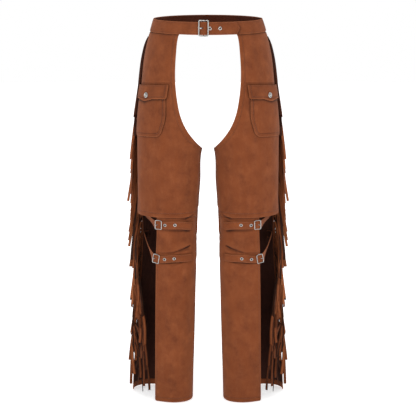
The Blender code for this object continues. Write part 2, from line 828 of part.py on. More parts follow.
# ---------------------------------------------------------------- waistband and belt
def waist_point(angle, level, offset):
    """A point of the waistband: angle from the front towards +X, level 0 at its lower edge and 1 at
    its top, offset outwards."""
    half_x = blend(*WAIST_HALF_X, level)
    half_x = blend(WAIST_RADIUS, half_x, ramp(abs(math.sin(angle)), 0.3, 0.9))
    half_y = blend(*WAIST_HALF_Y, level)
    x, y = half_x * math.sin(angle), -half_y * math.cos(angle)
    outward = Vector((math.sin(angle) / half_x, -math.cos(angle) / half_y, 0)).normalized()
    z = WAIST_LIFT + WAIST_HEIGHT * (level - 0.5) + WAIST_TILT * y
    return Vector((x, y, z)) + outward * offset


def belt_heights():
    """Offsets of the bar, the fold round it, the chape, the tongue and the buckle's end bars."""
    fold = BELT_BUCKLE["bar"] + SEAM_GAP + WAIST_THICK / 2
    bar = fold + 0.0003
    chape = WAIST_THICK + CLEAR
    tongue = chape + WAIST_THICK + CLEAR
    ends = tongue + WAIST_THICK / 2 + EYELET_RISE + CLEAR + BELT_BUCKLE["wire"]
    return bar, fold, chape, tongue, ends


def tongue_offset(distance):
    """Offset of the tongue past the buckle, where it settles on the band behind it."""
    tongue = belt_heights()[3]
    return blend(tongue, WAIST_THICK + CLEAR, ramp(distance, *TONGUE_SETTLES))


def belt_path():
    """Angle and offset along the waistband: from the end of its fold, round the buckle's bar, round
    the waist, and out to the tip of the tongue, with how much of the tip's point applies."""
    bar, fold, chape, tongue, _ = belt_heights()
    start = BELT_X / WAIST_RADIUS
    half = BELT_BUCKLE["half_length"]
    path = []
    for distance in evenly(BELT_FOLD_END, 0.001, 4):
        path.append((start + distance / WAIST_RADIUS, bar - fold, 0.0))
    for turn in evenly(-70, 70, 7):
        swing = math.radians(turn)
        distance = -fold * math.cos(swing)
        path.append((start + distance / WAIST_RADIUS, bar + fold * math.sin(swing), 0.0))
    for distance in evenly(0.001, half, 4) + [0.020, 0.032, 0.044, 0.060]:
        offset = blend(chape, bar + fold, math.cos(0.5 * math.pi * min(distance / half, 1.0)) ** 2)
        offset *= 1 - ramp(distance, *CHAPE_ENDS)
        path.append((start + distance / WAIST_RADIUS, offset, 0.0))
    first = start + 0.072 / WAIST_RADIUS
    last = start + 2 * math.pi + TONGUE_START / WAIST_RADIUS
    for angle in evenly(first, last, 34):
        path.append((angle, 0.0, 0.0))
    over_bar = bar + fold + WAIST_THICK + CLEAR
    for distance in [-0.060, -0.045, -0.030, -0.020] + evenly(-half, half, 9) + [0.020, 0.032]:
        offset = tongue * ramp(distance, TONGUE_START, -half)
        if abs(distance) < half:
            offset += (over_bar - tongue) * math.cos(0.5 * math.pi * distance / half) ** 2
        path.append((start + 2 * math.pi + distance / WAIST_RADIUS, offset, 0.0))
    for distance in evenly(0.044, TONGUE_END, 6):
        offset = tongue_offset(distance)
        point_share = ramp(distance, 0.060, TONGUE_END)
        path.append((start + 2 * math.pi + distance / WAIST_RADIUS, offset, point_share))
    return path


def waist_frame(distance, offset):
    """A frame on the band at a distance past the buckle's middle: Z outward, Y up, X along the belt."""
    angle = (BELT_X + distance) / WAIST_RADIUS
    step = 0.01
    origin = waist_point(angle, 0.5, offset)
    along = waist_point(angle + step, 0.5, offset) - waist_point(angle - step, 0.5, offset)
    side = along.normalized()
    up = waist_point(angle, 1.0, offset) - waist_point(angle, 0.0, offset)
    normal = side.cross(up).normalized()
    up = normal.cross(side)
    frame = Matrix((side, up, normal)).transposed().to_4x4()
    frame.translation = origin
    return frame


def make_waistband():
    rows = []
    for angle, offset, point_share in belt_path():
        row = []
        for level in (0.0, 0.5, 1.0):
            back = TONGUE_POINT * abs(2 * level - 1) * point_share / WAIST_RADIUS
            row.append(waist_point(angle - back, level, offset))
        rows.append(row)
    band = sheet("waistband", rows, WAIST_THICK, SUEDE_BROWN)
    bar, _, _, _, ends = belt_heights()
    buckle_frame = waist_frame(0.0, 0.0)
    band = slotted(band, BELT_BUCKLE, bar, buckle_frame)
    frames = []
    for distance in BELT_EYELETS:
        offset = tongue_offset(distance)
        frames.append(waist_frame(distance, offset))
    for frame in frames:
        low = -WAIST_THICK / 2 - 0.5 * CLEAR
        punch = cutter_punch(EYELET_PUNCH, 0.010, frame @ Matrix.Translation((0, 0, low + 0.005)))
        band = combined(band, punch, "DIFFERENCE")
    make_buckle("belt_buckle", BELT_BUCKLE, bar, ends, buckle_frame)
    make_prong("belt_prong", BELT_BUCKLE, bar, ends, buckle_frame)
    for i, frame in enumerate(frames, start=1):
        face = frame @ Matrix.Translation((0, 0, WAIST_THICK / 2 + 0.0001))
        make_eyelet(f"belt_eyelet_{i}", WAIST_THICK, face)


# ---------------------------------------------------------------- fringe
def fringe_point(angle, z, lift, root_z):
    """A point over the leg where the strands hang.

    Below the knee nothing holds them out in front of the back panel's free edge, so there they
    hang towards the straight line across the open side.
    """
    edge, free = outseam(z), free_edge(min(z, KNEE_TUCK_Z))
    point = leg_point(angle, z)
    normal = leg_normal(angle, z)
    fall_in = FALL_IN * ramp(z, *FALL_IN_Z) * ramp(root_z, *FALL_IN_ROOTS_Z)
    fall_in *= ramp(edge - angle, *FALL_IN_TURN)
    if fall_in > 0:
        back, front = leg_point(edge, z), leg_point(free, z)
        straight = back.lerp(front, (edge - angle) / (edge - free))
        chord = (front - back).normalized()
        facing = Vector((chord.y, -chord.x, 0.0))
        if facing.x > 0:
            facing = -facing
        point = point.lerp(straight, fall_in)
        normal = normal.lerp(facing, fall_in).normalized()
    return point + normal * lift


def strand_ring(root_z, z, aside, lift):
    """Four corners of a strand at a height: outer pair, then inner pair, front to back."""
    half_width = leg_section(z)[1]
    follow = FOLLOW_EDGE * ramp(root_z, *FALL_IN_ROOTS_Z)
    line_angle = blend(outseam(root_z), outseam(z), follow)
    corners = []
    for thick, side in ((0.5, -0.5), (0.5, 0.5), (-0.5, 0.5), (-0.5, -0.5)):
        angle = line_angle + (aside + side * STRAND_WIDTH) / half_width
        corners.append(fringe_point(angle, z, lift + thick * STRAND_THICK, root_z))
    return corners


def make_fringe():
    """A strip along the outseam with strands cut in it, turn by turn from its front and its back."""
    columns = STRIP_COLUMNS
    inner_lift = SUEDE / 2 + SEAM_GAP + FACET_ROOM
    outer_lift = inner_lift + STRIP_THICK
    levels = evenly(FRINGE_TOP_Z, FRINGE_BOTTOM_Z, STRANDS + 1)
    slot = levels[0] - levels[1]
    mesh = bmesh.new()

    def strip_row(z, lift, offsets):
        half_width = leg_section(z)[1]
        return [mesh.verts.new(leg_point(outseam(z) + c / half_width, z, lift)) for c in offsets]

    outer = [strip_row(z, outer_lift, columns) for z in levels]
    inner = [strip_row(z, inner_lift, (columns[0], columns[-1])) for z in levels]
    for k in range(STRANDS):
        upper, lower = outer[k], outer[k + 1]
        root = 0 if k % 2 == 0 else 2
        mesh.faces.new((inner[k][1], inner[k][0], inner[k + 1][0], inner[k + 1][1]))
        for c in range(3):
            if c != root:
                mesh.faces.new((upper[c], upper[c + 1], lower[c + 1], lower[c]))
        mesh.faces.new((upper[0], lower[0], inner[k + 1][0], inner[k][0]))
        mesh.faces.new((lower[-1], upper[-1], inner[k][-1], inner[k + 1][-1]))

        ring = [upper[root], upper[root + 1], lower[root + 1], lower[root]]
        spread = (k * SPREAD_STEP) % 1.0
        start = (columns[root] + columns[root + 1]) / 2
        root_z = levels[k] - slot / 2
        tips = FRONT_TIPS if root == 0 else REAR_TIPS
        tip = blend(smooth_value(tips, 1, root_z), smooth_value(tips, 2, root_z), spread)
        rise = smooth_value(STRAND_RISE, 1, root_z)
        steps = STRAND_STEPS if PLAIN_ROOTS_Z[1] < root_z < PLAIN_ROOTS_Z[0] else STRAND_STEPS + 1
        first_drop = slot + STRAND_START
        for step in range(steps + 1):
            drop = blend(first_drop, STRAND_LENGTH, step / steps)
            along = drop / STRAND_LENGTH
            aside = blend(start, tip, along * (0.55 + 0.45 * along))
            lift = outer_lift + STRAND_LIFT + rise * (drop - first_drop)
            points = strand_ring(root_z, levels[k] - drop, aside, lift)
            following = [mesh.verts.new(point) for point in points]
            for corner in range(4):
                turn = (corner + 1) % 4
                mesh.faces.new((ring[corner], ring[turn], following[turn], following[corner]))
            ring = following
        mesh.faces.new(ring)
    for end in (0, -1):
        mesh.faces.new((*outer[end], inner[end][1], inner[end][0]))
    bmesh.ops.recalc_face_normals(mesh, faces=mesh.faces)
    data = bpy.data.meshes.new("fringe")
    mesh.to_mesh(data)
    mesh.free()
    both_legs(piece("fringe", data, SUEDE_BROWN))


# ---------------------------------------------------------------- the whole garment
for old in list(bpy.data.objects):
    bpy.data.objects.remove(old)
PARTS = new_collection("fringed_chaps")
CUTTERS = new_collection("cutters")
SUEDE_BROWN = principled("brown_suede", BROWN, 0.92, 0.0)
STEEL = principled("polished_steel", SILVER, 0.28, 1.0)

make_waistband()
make_thigh_front()
make_shin_front()
make_back_panel()
make_pocket()
make_pocket_flap()
make_pocket_button()
for strap_name in STRAPS:
    make_strap(strap_name)
make_knee_rivets()
make_fringe()
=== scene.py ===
"""Looks of the fringed suede chaps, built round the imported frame. Metres, +Z up, front at -Y."""

import math
import random

import bmesh
import bpy
import numpy as np
from mathutils import Matrix, Vector


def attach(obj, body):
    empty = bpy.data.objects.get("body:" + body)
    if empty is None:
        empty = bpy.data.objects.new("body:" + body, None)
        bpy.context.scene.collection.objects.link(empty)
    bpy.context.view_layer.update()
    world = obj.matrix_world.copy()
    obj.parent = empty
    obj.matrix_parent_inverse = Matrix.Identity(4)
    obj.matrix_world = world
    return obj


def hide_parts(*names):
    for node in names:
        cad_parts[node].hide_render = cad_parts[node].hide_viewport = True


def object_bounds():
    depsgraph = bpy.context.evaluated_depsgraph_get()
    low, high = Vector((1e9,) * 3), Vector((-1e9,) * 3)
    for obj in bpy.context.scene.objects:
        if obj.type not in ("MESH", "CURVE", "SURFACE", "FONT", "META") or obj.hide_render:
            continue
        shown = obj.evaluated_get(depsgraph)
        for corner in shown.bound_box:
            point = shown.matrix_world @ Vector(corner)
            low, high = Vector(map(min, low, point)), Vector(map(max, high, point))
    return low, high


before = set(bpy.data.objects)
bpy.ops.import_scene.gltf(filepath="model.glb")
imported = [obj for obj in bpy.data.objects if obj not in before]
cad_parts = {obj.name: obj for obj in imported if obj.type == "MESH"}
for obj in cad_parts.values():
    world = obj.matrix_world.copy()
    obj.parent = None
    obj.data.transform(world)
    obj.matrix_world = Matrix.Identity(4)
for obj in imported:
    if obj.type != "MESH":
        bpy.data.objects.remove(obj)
cad_low, cad_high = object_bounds()

# ---------------------------------------------------------------- sizes, as in the solids
SUEDE = 0.0020
PATCH = 0.0016
SEAM_GAP = 0.0003
FACET_ROOM = 0.0005
STRAP_THICK = 0.0020
STRAP_WIDTH = 0.020
HEM_Z = -1.0105
KNEE_HEM_Z = -0.4985
KNEE_TUCK_Z = -0.483
TUCK_START_Z = -0.538
TUCK_END_Z = -0.590
WAIST_HEIGHT = 0.032
WAIST_THICK = 0.0024
WAIST_LIFT = 0.0020
WAIST_TILT = 0.09
TILT_DEPTH = 0.06
WAIST_HALF_X = (0.1515, 0.1415)
WAIST_HALF_Y = (0.1040, 0.1000)
WAIST_RADIUS = 0.143
PANEL_TOP_Z = WAIST_LIFT - WAIST_HEIGHT / 2 - 0.0008

# The leg's ellipse by height: outermost and innermost x, y of its centre, half depth, skew.
SECTIONS = np.array([
    (0.020, -0.1415, 0.1415, 0.000, 0.100, 0.000),
    (-0.015, -0.1512, 0.1512, 0.000, 0.104, 0.000),
    (-0.082, -0.1675, 0.1180, -0.001, 0.106, 0.000),
    (-0.160, -0.1764, 0.0700, -0.003, 0.103, 0.002),
    (-0.242, -0.1853, 0.0200, -0.005, 0.095, 0.004),
    (-0.323, -0.1886, -0.0162, -0.008, 0.087, 0.007),
    (-0.410, -0.1890, -0.0215, -0.010, 0.079, 0.010),
    (-0.4975, -0.1892, -0.0276, -0.012, 0.0745, 0.012),
    (-0.620, -0.1935, -0.0318, -0.008, 0.0730, 0.017),
    (-0.750, -0.1985, -0.0365, -0.004, 0.0725, 0.022),
    (HEM_Z, -0.2105, -0.0430, 0.0045, 0.0708, 0.0315),
])
FRONT_EDGE = np.array([  # z, x of the front panel's inner edge
    (-0.015, -0.0730), (-0.041, -0.0775), (-0.076, -0.0820), (-0.147, -0.0833), (-0.188, -0.0790),
    (-0.229, -0.0707), (-0.250, -0.0630), (-0.271, -0.0520), (-0.2935, -0.0364), (-0.3150, -0.0190),
])
CROTCH_Z = -0.323
BACK_EDGE = np.array([  # z, x of the back panel's inner edge
    (-0.015, -0.0960), (-0.082, -0.1080), (-0.160, -0.1120), (-0.225, -0.1040), (-0.270, -0.0830),
    (-0.300, -0.0580), (-0.330, -0.0240),
])
BACK_CROTCH_Z = -0.342
OUTSEAM = np.array([  # z, degrees round the leg
    (-0.015, 96.0), (-0.200, 106.0), (-0.4975, 119.0), (-0.600, 122.0), (-0.780, 109.0), (HEM_Z, 86.0),
])
FREE_EDGE = np.array([(KNEE_TUCK_Z, 20.2), (-0.725, 17.0), (HEM_Z, 12.3)])  # z, degrees
INSEAM = math.radians(-90.0)

POCKET_TOP_Z = -0.156
POCKET_BOTTOM_Z = -0.2835
POCKET_EDGE = np.array([  # z, x of its inner edge
    (-0.150, -0.1080), (-0.230, -0.1090), (-0.246, -0.1118), (-0.262, -0.1172), (-0.275, -0.1196),
    (-0.290, -0.1204),
])
POCKET_OUTER = math.radians(87.0)
POCKET_SPAN = 0.118  # of the pocket and its flap across the leg, for shades, seams and corners
POCKET_HALF_TALL = 0.070
POCKET_CORNER = 0.017
POCKET_SLANT = 0.0045
FLAP_TOP_Z = -0.150
FLAP_BOTTOM_Z = -0.186
FLAP_DEPTH = 0.040
FLAP_POINT = 0.0054
FLAP_CORNER = 0.0042
FLAP_TOP_ANGLES = (23.5, 89.0)  # degrees
FLAP_BOTTOM_ANGLES = (21.5, 90.0)
FLAP_STITCH = 0.0060
FLAP_TOP_STITCH = 0.0026
FLAP_FLARE = (0.0012, 0.0014)
BUTTON_RADIUS = 0.0072
BUTTON_HEIGHT = 0.0030
BUTTON_ANGLE = 54.0
BUTTON_Z = -0.1785

STRAPS = {  # angles in degrees; twist and early shape the stretch from the buckle to the outer end
    "knee": {
        "inner_z": -0.5235, "middle_z": -0.5175, "buckle_z": -0.5180, "outer_z": -0.5080,
        "inner_angle": -59.0, "buckle_angle": 15.0, "twist": 0.25, "early": 1.0, "slope": 0.04,
        "eyelets": (0.0170, 0.0436),
    },
    "calf": {
        "inner_z": -0.6065, "middle_z": -0.6060, "buckle_z": -0.6100, "outer_z": -0.5680,
        "inner_angle": -58.0, "buckle_angle": 17.0, "twist": 0.30, "early": 0.80, "slope": 0.20,
        "eyelets": (0.0222, 0.0470),
    },
}
STRAP_ANCHOR = 127.0  # degrees, where its outer end is fixed under the back panel
STRAP_TUCK = 0.20  # radians that it runs on there
STRAP_HEADING = 0.025
SLOPE_RUN = 0.16  # share of a strap's length by its buckle that slopes
STRAP_ARRIVAL = 0.03
STRAP_STITCH = 0.0026
BELT_STITCH = 0.0030

BELT_BUCKLE = {"half_length": 0.0118, "half_width": 0.0193, "wire": 0.0016, "bar": 0.0014}
LEG_BUCKLE = {"half_length": 0.0088, "half_width": 0.0116, "wire": 0.0010, "bar": 0.0009}
BUCKLE_CORNER = 0.0026
CLEAR = 0.0004
EYELET_HOLE = 0.0023
EYELET_BARREL = 0.0028
EYELET_FLANGE = 0.0045
LEG_EYELET_FLANGE = 0.0041
EYELET_RISE = 0.0011
EYELET_PUNCH = 0.0031
RIVET_RADIUS = 0.0040
RIVET_HEIGHT = 0.0014
RIVET_SPACING = 0.010
RIVET_TURN = 0.09
BELT_X = -0.0109
BELT_EYELETS = (0.0155, 0.0408)
BELT_FOLD_END = 0.030
CHAPE_ENDS = (0.032, 0.060)
TONGUE_START = -0.075
TONGUE_SETTLES = (0.032, 0.062)
TONGUE_END = 0.0950
TONGUE_POINT = 0.0090

FRINGE_TOP_Z = -0.024
FRINGE_BOTTOM_Z = -0.790
STRANDS = 122
STRAND_LENGTH = 0.215
STRAND_WIDTH = 0.0076
STRAND_THICK = 0.0011
STRIP_THICK = 0.0016
STRIP_STITCH = 0.0058
STRAND_ROOTS = (0.0040, 0.0120)  # middle of the front and of the rear strands on the strip
STRAND_BEVEL = 0.00028
STRAND_SECTIONS = 18
STRAND_SHARES = np.linspace(0, 1, STRAND_SECTIONS)
STRAND_START = 0.0030
STRAND_LIFT = 0.0012
STRAND_RISE = np.array([  # z of its root, how fast it stands off the leg
    (FRINGE_TOP_Z, 0.012), (-0.070, 0.010), (-0.120, 0.022), (-0.180, 0.066), (-0.300, 0.074),
    (-0.370, 0.062), (-0.450, 0.068), (-0.560, 0.046), (-0.700, 0.020), (FRINGE_BOTTOM_Z, 0.006),
])
STRAND_BULGE = np.array([  # z of its root, how far it springs out below it
    (FRINGE_TOP_Z, 0.0040), (-0.120, 0.0022), (-0.200, 0.0040), (-0.450, 0.0040), (-0.600, 0.0030),
    (FRINGE_BOTTOM_Z, 0.0020),
])
FRONT_TIPS = np.array([  # z of its root, how far round the leg its tip hangs, from and to
    (-0.120, -0.016, 0.002), (-0.340, -0.036, 0.004), (-0.440, -0.044, 0.008), (-0.500, -0.050, 0.006),
    (-0.580, -0.070, 0.000), (-0.740, -0.090, -0.006), (-0.780, -0.108, -0.036),
])
REAR_TIPS = np.array([
    (-0.120, 0.004, 0.018), (-0.340, -0.020, 0.016), (-0.440, -0.036, 0.014), (-0.500, -0.044, 0.012),
    (-0.580, -0.066, 0.006), (-0.750, -0.088, -0.006),
])
SPREAD_STEP = 0.618  # from one strand to the next, so that their tips spread evenly
STRAND_TURN = np.array([  # z of its root, degrees that it turns about its length, how soon
    (FRINGE_TOP_Z, 84.0, 9.0), (-0.080, 60.0, 5.0), (-0.130, -40.0, 4.0), (-0.240, -75.0, 3.5),
    (-0.400, -80.0, 4.0), (-0.460, -90.0, 8.0), (-0.600, -88.0, 7.0), (FRINGE_BOTTOM_Z, -55.0, 3.0),
])
STRAND_TURN_SPREAD = 25.0
REAR_TURN = 18.0  # the rear strands keep their reverse to the front
LOW_ROOTS_Z = -0.570  # where the shades change from those of the knee to the low ones
KNEE_ROOTS_Z = -0.300
TURNED_ROOTS_Z = -0.400  # below it some rear strands turn as the front ones do
# Painted light and shade of the strands, by the height of their roots: over 0 a strand is painted lit, under
# 0 painted in shade, and the rear ones get the darker list.
FRONT_SHADES = (-0.30, 0.00, 0.16, 0.26, 0.36, 0.50)
LOW_SHADES = (-0.72, -0.26, 0.00, 0.14, 0.26, 0.38, 0.50)
KNEE_SHADES = (-0.90, 0.30, 0.72, 0.84, 0.94, 1.00)
REAR_SHADES = (-0.45, -0.30, -0.15, -0.05)
FALL_IN = 1.15
FALL_IN_Z = (-0.500, -0.860)
FALL_IN_TURN = (0.08, 0.50)
FALL_IN_ROOTS_Z = (-0.420, -0.600)
FOLLOW_EDGE = 0.9

# Sewing and turned edges
TOPSTITCH = 0.0105  # from an edge to its line of sewing
HEM_STITCH = 0.0115
TURNED_IN = 0.0150  # width of the cloth turned in along free edges and hems
TURNED_THICK = 0.0008
STITCH_PITCH = 0.0036
STITCH_LENGTH = 0.0027
STITCH_RADIUS = 0.00042
STITCH_SINK = 0.0001  # how deep the middle of a thread lies in the cloth
GROOVE_DEPTH = 0.0006
GROOVE_WIDTH = 0.0016
# how dark the painted shade in a sewn groove is
GROOVE_SHADE = -0.12

# Creases and soft folds of the leg, as troughs (negative) and ridges (positive), each along a
# line from one point of the leg to another.
FOLDS = np.array([  # degrees, z, degrees, z, half width, height
    (-35.0, -0.5065, -57.0, -0.4985, 0.0045, -0.0018),  # from the knee strap's sewn end up to the inseam
    (0.0, -0.5345, -34.0, -0.5350, 0.0035, -0.0010),  # under the knee strap
    (-30.0, -0.5350, -56.0, -0.5395, 0.0040, -0.0016),
    (-20.0, -0.5890, -54.0, -0.5765, 0.0040, -0.0019),  # from the calf strap up to the inseam
    (-14.0, -0.5780, -46.0, -0.5650, 0.0075, 0.0011),
    (14.0, -0.5935, -20.0, -0.5920, 0.0035, -0.0007),
    (8.0, -0.6220, -48.0, -0.6165, 0.0040, -0.0010),  # under the calf strap
    (-8.0, -0.5540, -40.0, -0.5520, 0.0170, 0.0010),  # the cloth puffs out between the straps
    (-80.0, -0.4960, -104.0, -0.4700, 0.0070, -0.0018),  # and on round the inner side of the knee
    (-78.0, -0.5480, -106.0, -0.5640, 0.0080, -0.0016),
    (-80.0, -0.5900, -108.0, -0.5560, 0.0070, -0.0016),
    (-80.0, -0.6180, -104.0, -0.6400, 0.0080, -0.0014),
    (-22.0, -0.6600, -30.0, -0.8600, 0.0110, -0.0011),  # long soft falls down the lower leg
    (-6.0, -0.6400, -12.0, -0.7900, 0.0120, 0.0009),
    (-45.0, -0.6700, -40.0, -0.9400, 0.0130, 0.0012),
    (-62.0, -0.7000, -66.0, -0.9300, 0.0130, -0.0015),
    (-84.0, -0.6800, -80.0, -0.9000, 0.0140, 0.0013),
    (-16.0, -0.8900, -24.0, -1.0050, 0.0120, 0.0010),
    (34.0, -0.3000, 30.0, -0.4700, 0.0130, -0.0011),  # and down the thigh
    (52.0, -0.3100, 60.0, -0.4600, 0.0140, 0.0012),
    (8.0, -0.2500, 2.0, -0.4300, 0.0160, -0.0010),
    (-22.0, -0.3300, -26.0, -0.4700, 0.0160, 0.0012),
    (-48.0, -0.3350, -44.0, -0.4750, 0.0120, -0.0014),
    (-72.0, -0.3400, -64.0, -0.4400, 0.0110, 0.0014),
    (80.0, -0.3000, 88.0, -0.4800, 0.0150, -0.0013),
    (16.0, -0.0600, 22.0, -0.1350, 0.0150, -0.0008),
    (48.0, -0.0500, 44.0, -0.1300, 0.0180, 0.0009),
    (74.0, -0.0450, 80.0, -0.1400, 0.0140, -0.0009),
    (128.0, -0.0600, 134.0, -0.2600, 0.0140, -0.0015),  # the back, as uneven as the front
    (150.0, -0.2600, 146.0, -0.4300, 0.0150, 0.0014),
    (172.0, -0.2950, 180.0, -0.4400, 0.0140, -0.0016),
    (205.0, -0.3500, 236.0, -0.3900, 0.0080, -0.0020),
    (198.0, -0.4300, 246.0, -0.4650, 0.0085, -0.0026),
    (160.0, -0.4750, 222.0, -0.5000, 0.0090, -0.0030),
    (176.0, -0.5200, 240.0, -0.5350, 0.0090, -0.0026),
    (150.0, -0.5450, 200.0, -0.5700, 0.0100, -0.0020),
    (140.0, -0.5000, 172.0, -0.4600, 0.0100, 0.0018),
    (206.0, -0.5900, 250.0, -0.6150, 0.0090, -0.0018),
    (158.0, -0.6300, 150.0, -0.8200, 0.0160, 0.0015),
    (190.0, -0.6500, 196.0, -0.8800, 0.0150, -0.0017),
    (228.0, -0.6800, 222.0, -0.9200, 0.0150, 0.0014),
    (128.0, -0.7400, 118.0, -0.9300, 0.0130, -0.0012),
    (170.0, -0.8800, 162.0, -1.0000, 0.0140, -0.0012),
])
FOLD_METRIC = 0.082  # metres along the leg for a radian round it
# The sharp creases that the straps press: half width, depth, how dark their painted shade is at each end,
# then points.
CREASES = [  # half width, depth, tone at the first and at the last point, (degrees, z)...
    (0.0022, 0.0010, -0.15, -0.80, ((-22.0, -0.5045), (-38.0, -0.5030), (-50.0, -0.4975), (-57.0, -0.4940))),
    (0.0018, 0.0008, -0.05, -0.45, ((-30.0, -0.5115), (-45.0, -0.5095), (-57.0, -0.5065))),
    (0.0022, 0.0008, -0.35, -0.80, ((6.0, -0.5330), (-19.3, -0.5332), (-36.2, -0.5342), (-52.0, -0.5375))),
    (0.0020, 0.0007, -0.12, -0.30, ((16.0, -0.5934), (-5.3, -0.5936), (-20.6, -0.5895))),
    (0.0024, 0.0014, -0.25, -0.95, ((-14.0, -0.5915), (-22.0, -0.5885), (-37.5, -0.5820), (-52.0, -0.5768))),
    (0.0026, 0.0009, -0.12, -0.40, ((-26.0, -0.5905), (-38.0, -0.5870), (-50.0, -0.5850))),
    (0.0022, 0.0009, -0.40, -0.75, ((12.0, -0.6214), (-9.6, -0.6206), (-29.5, -0.6182), (-50.0, -0.6155))),
    (0.0020, 0.0006, -0.30, -0.10, ((-34.0, -0.6195), (-20.0, -0.6250), (-8.0, -0.6270))),
    (0.0034, 0.0012, -0.25, -0.10, ((-82.0, -0.4860), (-94.0, -0.4720), (-106.0, -0.4560))),
    (0.0034, 0.0012, -0.20, -0.10, ((-80.0, -0.5480), (-92.0, -0.5540), (-106.0, -0.5570))),
]


# ---------------------------------------------------------------- curves and the leg surface
FINE_Z = np.linspace(HEM_Z - 0.030, 0.030, 2400)


def ramp(value, start, end):
    t = np.clip((value - start) / (end - start), 0.0, 1.0)
    return t * t * (3 - 2 * t)


def blend(a, b, t):
    return a + (b - a) * t


def unit(vectors):
    return vectors / np.maximum(np.linalg.norm(vectors, axis=-1, keepdims=True), 1e-12)


def bell(offset, width):
    return np.exp(-((offset / width) ** 2))


def fading(distance, reach):
    """1 up to an edge, and fading out beyond it."""
    return np.exp(-np.maximum(distance, 0.0) / reach)


def run_along(points):
    """How far along a line each of its points is."""
    return np.concatenate([[0.0], np.cumsum(np.linalg.norm(np.diff(points, axis=0), axis=1))])


def columns_across(near, width, inner):
    """Distances across a piece, as close together by both its edges as near says."""
    return np.concatenate([near, np.linspace(near[-1], width - near[-1], inner)[1:-1], width - near[::-1]])


def facing(vectors, normals):
    """The vectors, each turned to its normal's side."""
    return vectors * np.where((vectors * normals).sum(axis=1, keepdims=True) > 0, 1.0, -1.0)


def smooth_column(table, column):
    """One column of a height table at FINE_Z, on a smooth curve."""
    heights, values = table[::-1, 0], table[::-1, column]
    slopes = np.gradient(values, heights)
    z = np.clip(FINE_Z, heights[0], heights[-1])
    i = np.clip(np.searchsorted(heights, z) - 1, 0, len(heights) - 2)
    step = heights[i + 1] - heights[i]
    t = (z - heights[i]) / step
    return (
        (2 * t**3 - 3 * t**2 + 1) * values[i]
        + (t**3 - 2 * t**2 + t) * step * slopes[i]
        + (-2 * t**3 + 3 * t**2) * values[i + 1]
        + (t**3 - t**2) * step * slopes[i + 1]
    )


OUTER_X, INNER_X, MID_Y, HALF_DEPTH, SKEW = (smooth_column(SECTIONS, c) for c in range(1, 6))
MID_X, HALF_WIDTH = (OUTER_X + INNER_X) / 2, (INNER_X - OUTER_X) / 2


def at(column, z):
    return np.interp(z, FINE_Z, column)


def leg_base(angle, z):
    sine, cosine = np.sin(angle), np.cos(angle)
    x = at(MID_X, z) - at(HALF_WIDTH, z) * sine
    y = at(MID_Y, z) - at(HALF_DEPTH, z) * cosine + at(SKEW, z) * sine
    return np.stack([x, y, z + 0 * angle], axis=-1)


def leg_out(angle, z):
    angle, z = np.broadcast_arrays(np.asarray(angle, float), np.asarray(z, float))
    along = leg_base(angle, z + 0.002) - leg_base(angle, z - 0.002)
    around = leg_base(angle + 0.01, z) - leg_base(angle - 0.01, z)
    return unit(np.cross(along, around))


def folded(angle, z, folds):
    """Sum of the folds at points of the leg."""
    turn = np.where(angle < math.radians(-110), angle + 2 * math.pi, angle)
    height = np.zeros_like(z)
    for angle_1, z_1, angle_2, z_2, half_width, depth in folds:
        start = np.array([math.radians(angle_1) * FOLD_METRIC, z_1])
        line = np.array([math.radians(angle_2) * FOLD_METRIC, z_2]) - start
        reach = math.hypot(*line)
        for full_turn in (0.0, 2 * math.pi):
            dx = (turn - full_turn) * FOLD_METRIC - start[0]
            dz = z - start[1]
            share = (dx * line[0] + dz * line[1]) / reach**2
            off = (dx * line[1] - dz * line[0]) / reach
            fade = np.exp(-(((share - 0.5) / 0.46) ** 4)) * (0.85 + 0.25 * np.sin(9 * share + 40 * z_1))
            across = off / half_width
            shape = np.exp(-(across**2)) - 0.32 * np.exp(-((across - 1.9) ** 2))
            height += depth * fade * shape
    return height


def creased(angle, z):
    """Height of the sharp creases, with painted shade in them and a faint painted highlight beside them."""
    turn = np.where(angle < math.radians(-180), angle + 2 * math.pi, angle)
    height, tone = np.zeros_like(z), np.zeros_like(z)
    for half_width, depth, first_tone, last_tone, spots in CREASES:
        line = np.array([(math.radians(degrees) * FOLD_METRIC, level) for degrees, level in spots])
        lengths = np.linalg.norm(np.diff(line, axis=0), axis=1)
        nearest, share = np.full_like(z, 1.0), np.zeros_like(z)
        for number, (start, step) in enumerate(zip(line[:-1], np.diff(line, axis=0))):
            dx, dz = turn * FOLD_METRIC - start[0], z - start[1]
            along = np.clip((dx * step[0] + dz * step[1]) / lengths[number] ** 2, 0.0, 1.0)
            off = np.hypot(dx - along * step[0], dz - along * step[1])
            here = (lengths[:number].sum() + along * lengths[number]) / lengths.sum()
            closer = off < nearest
            nearest, share = np.where(closer, off, nearest), np.where(closer, here, share)
        strength = blend(first_tone, last_tone, share) / min(first_tone, last_tone)
        fade = strength * np.exp(-(((share - 0.5) / 0.56) ** 8))
        across = nearest / half_width
        height += depth * fade * (0.55 * bell(across - 2.3, 1.2) - np.exp(-(across**2)))
        tone += min(first_tone, last_tone) * fade * bell(across, 0.85)
        tone += 0.10 * fade * np.exp(-((across - 2.3) ** 2))
    return height, tone


def relief(angle, z):
    """Height of the leg's folds over its smooth surface. Whatever lies on the leg shares it."""
    angle, z = np.broadcast_arrays(np.asarray(angle, float), np.asarray(z, float))
    height = folded(angle, z, FOLDS) + creased(angle, z)[0]
    slow = np.sin(5 * angle + 9 * z + 1.0) * np.sin(17 * z + 0.6) + 0.6 * np.sin(9 * angle - 23 * z)
    height += 0.00035 * slow
    return height * ramp(z, PANEL_TOP_Z, PANEL_TOP_Z - 0.05)


def lay(angle, z, lift=0.0):
    """A point on the leg, lift over its folded surface."""
    angle, z = np.broadcast_arrays(np.asarray(angle, float), np.asarray(z, float))
    height = np.asarray(lift + relief(angle, z))
    return leg_base(angle, z) + leg_out(angle, z) * height[..., None]


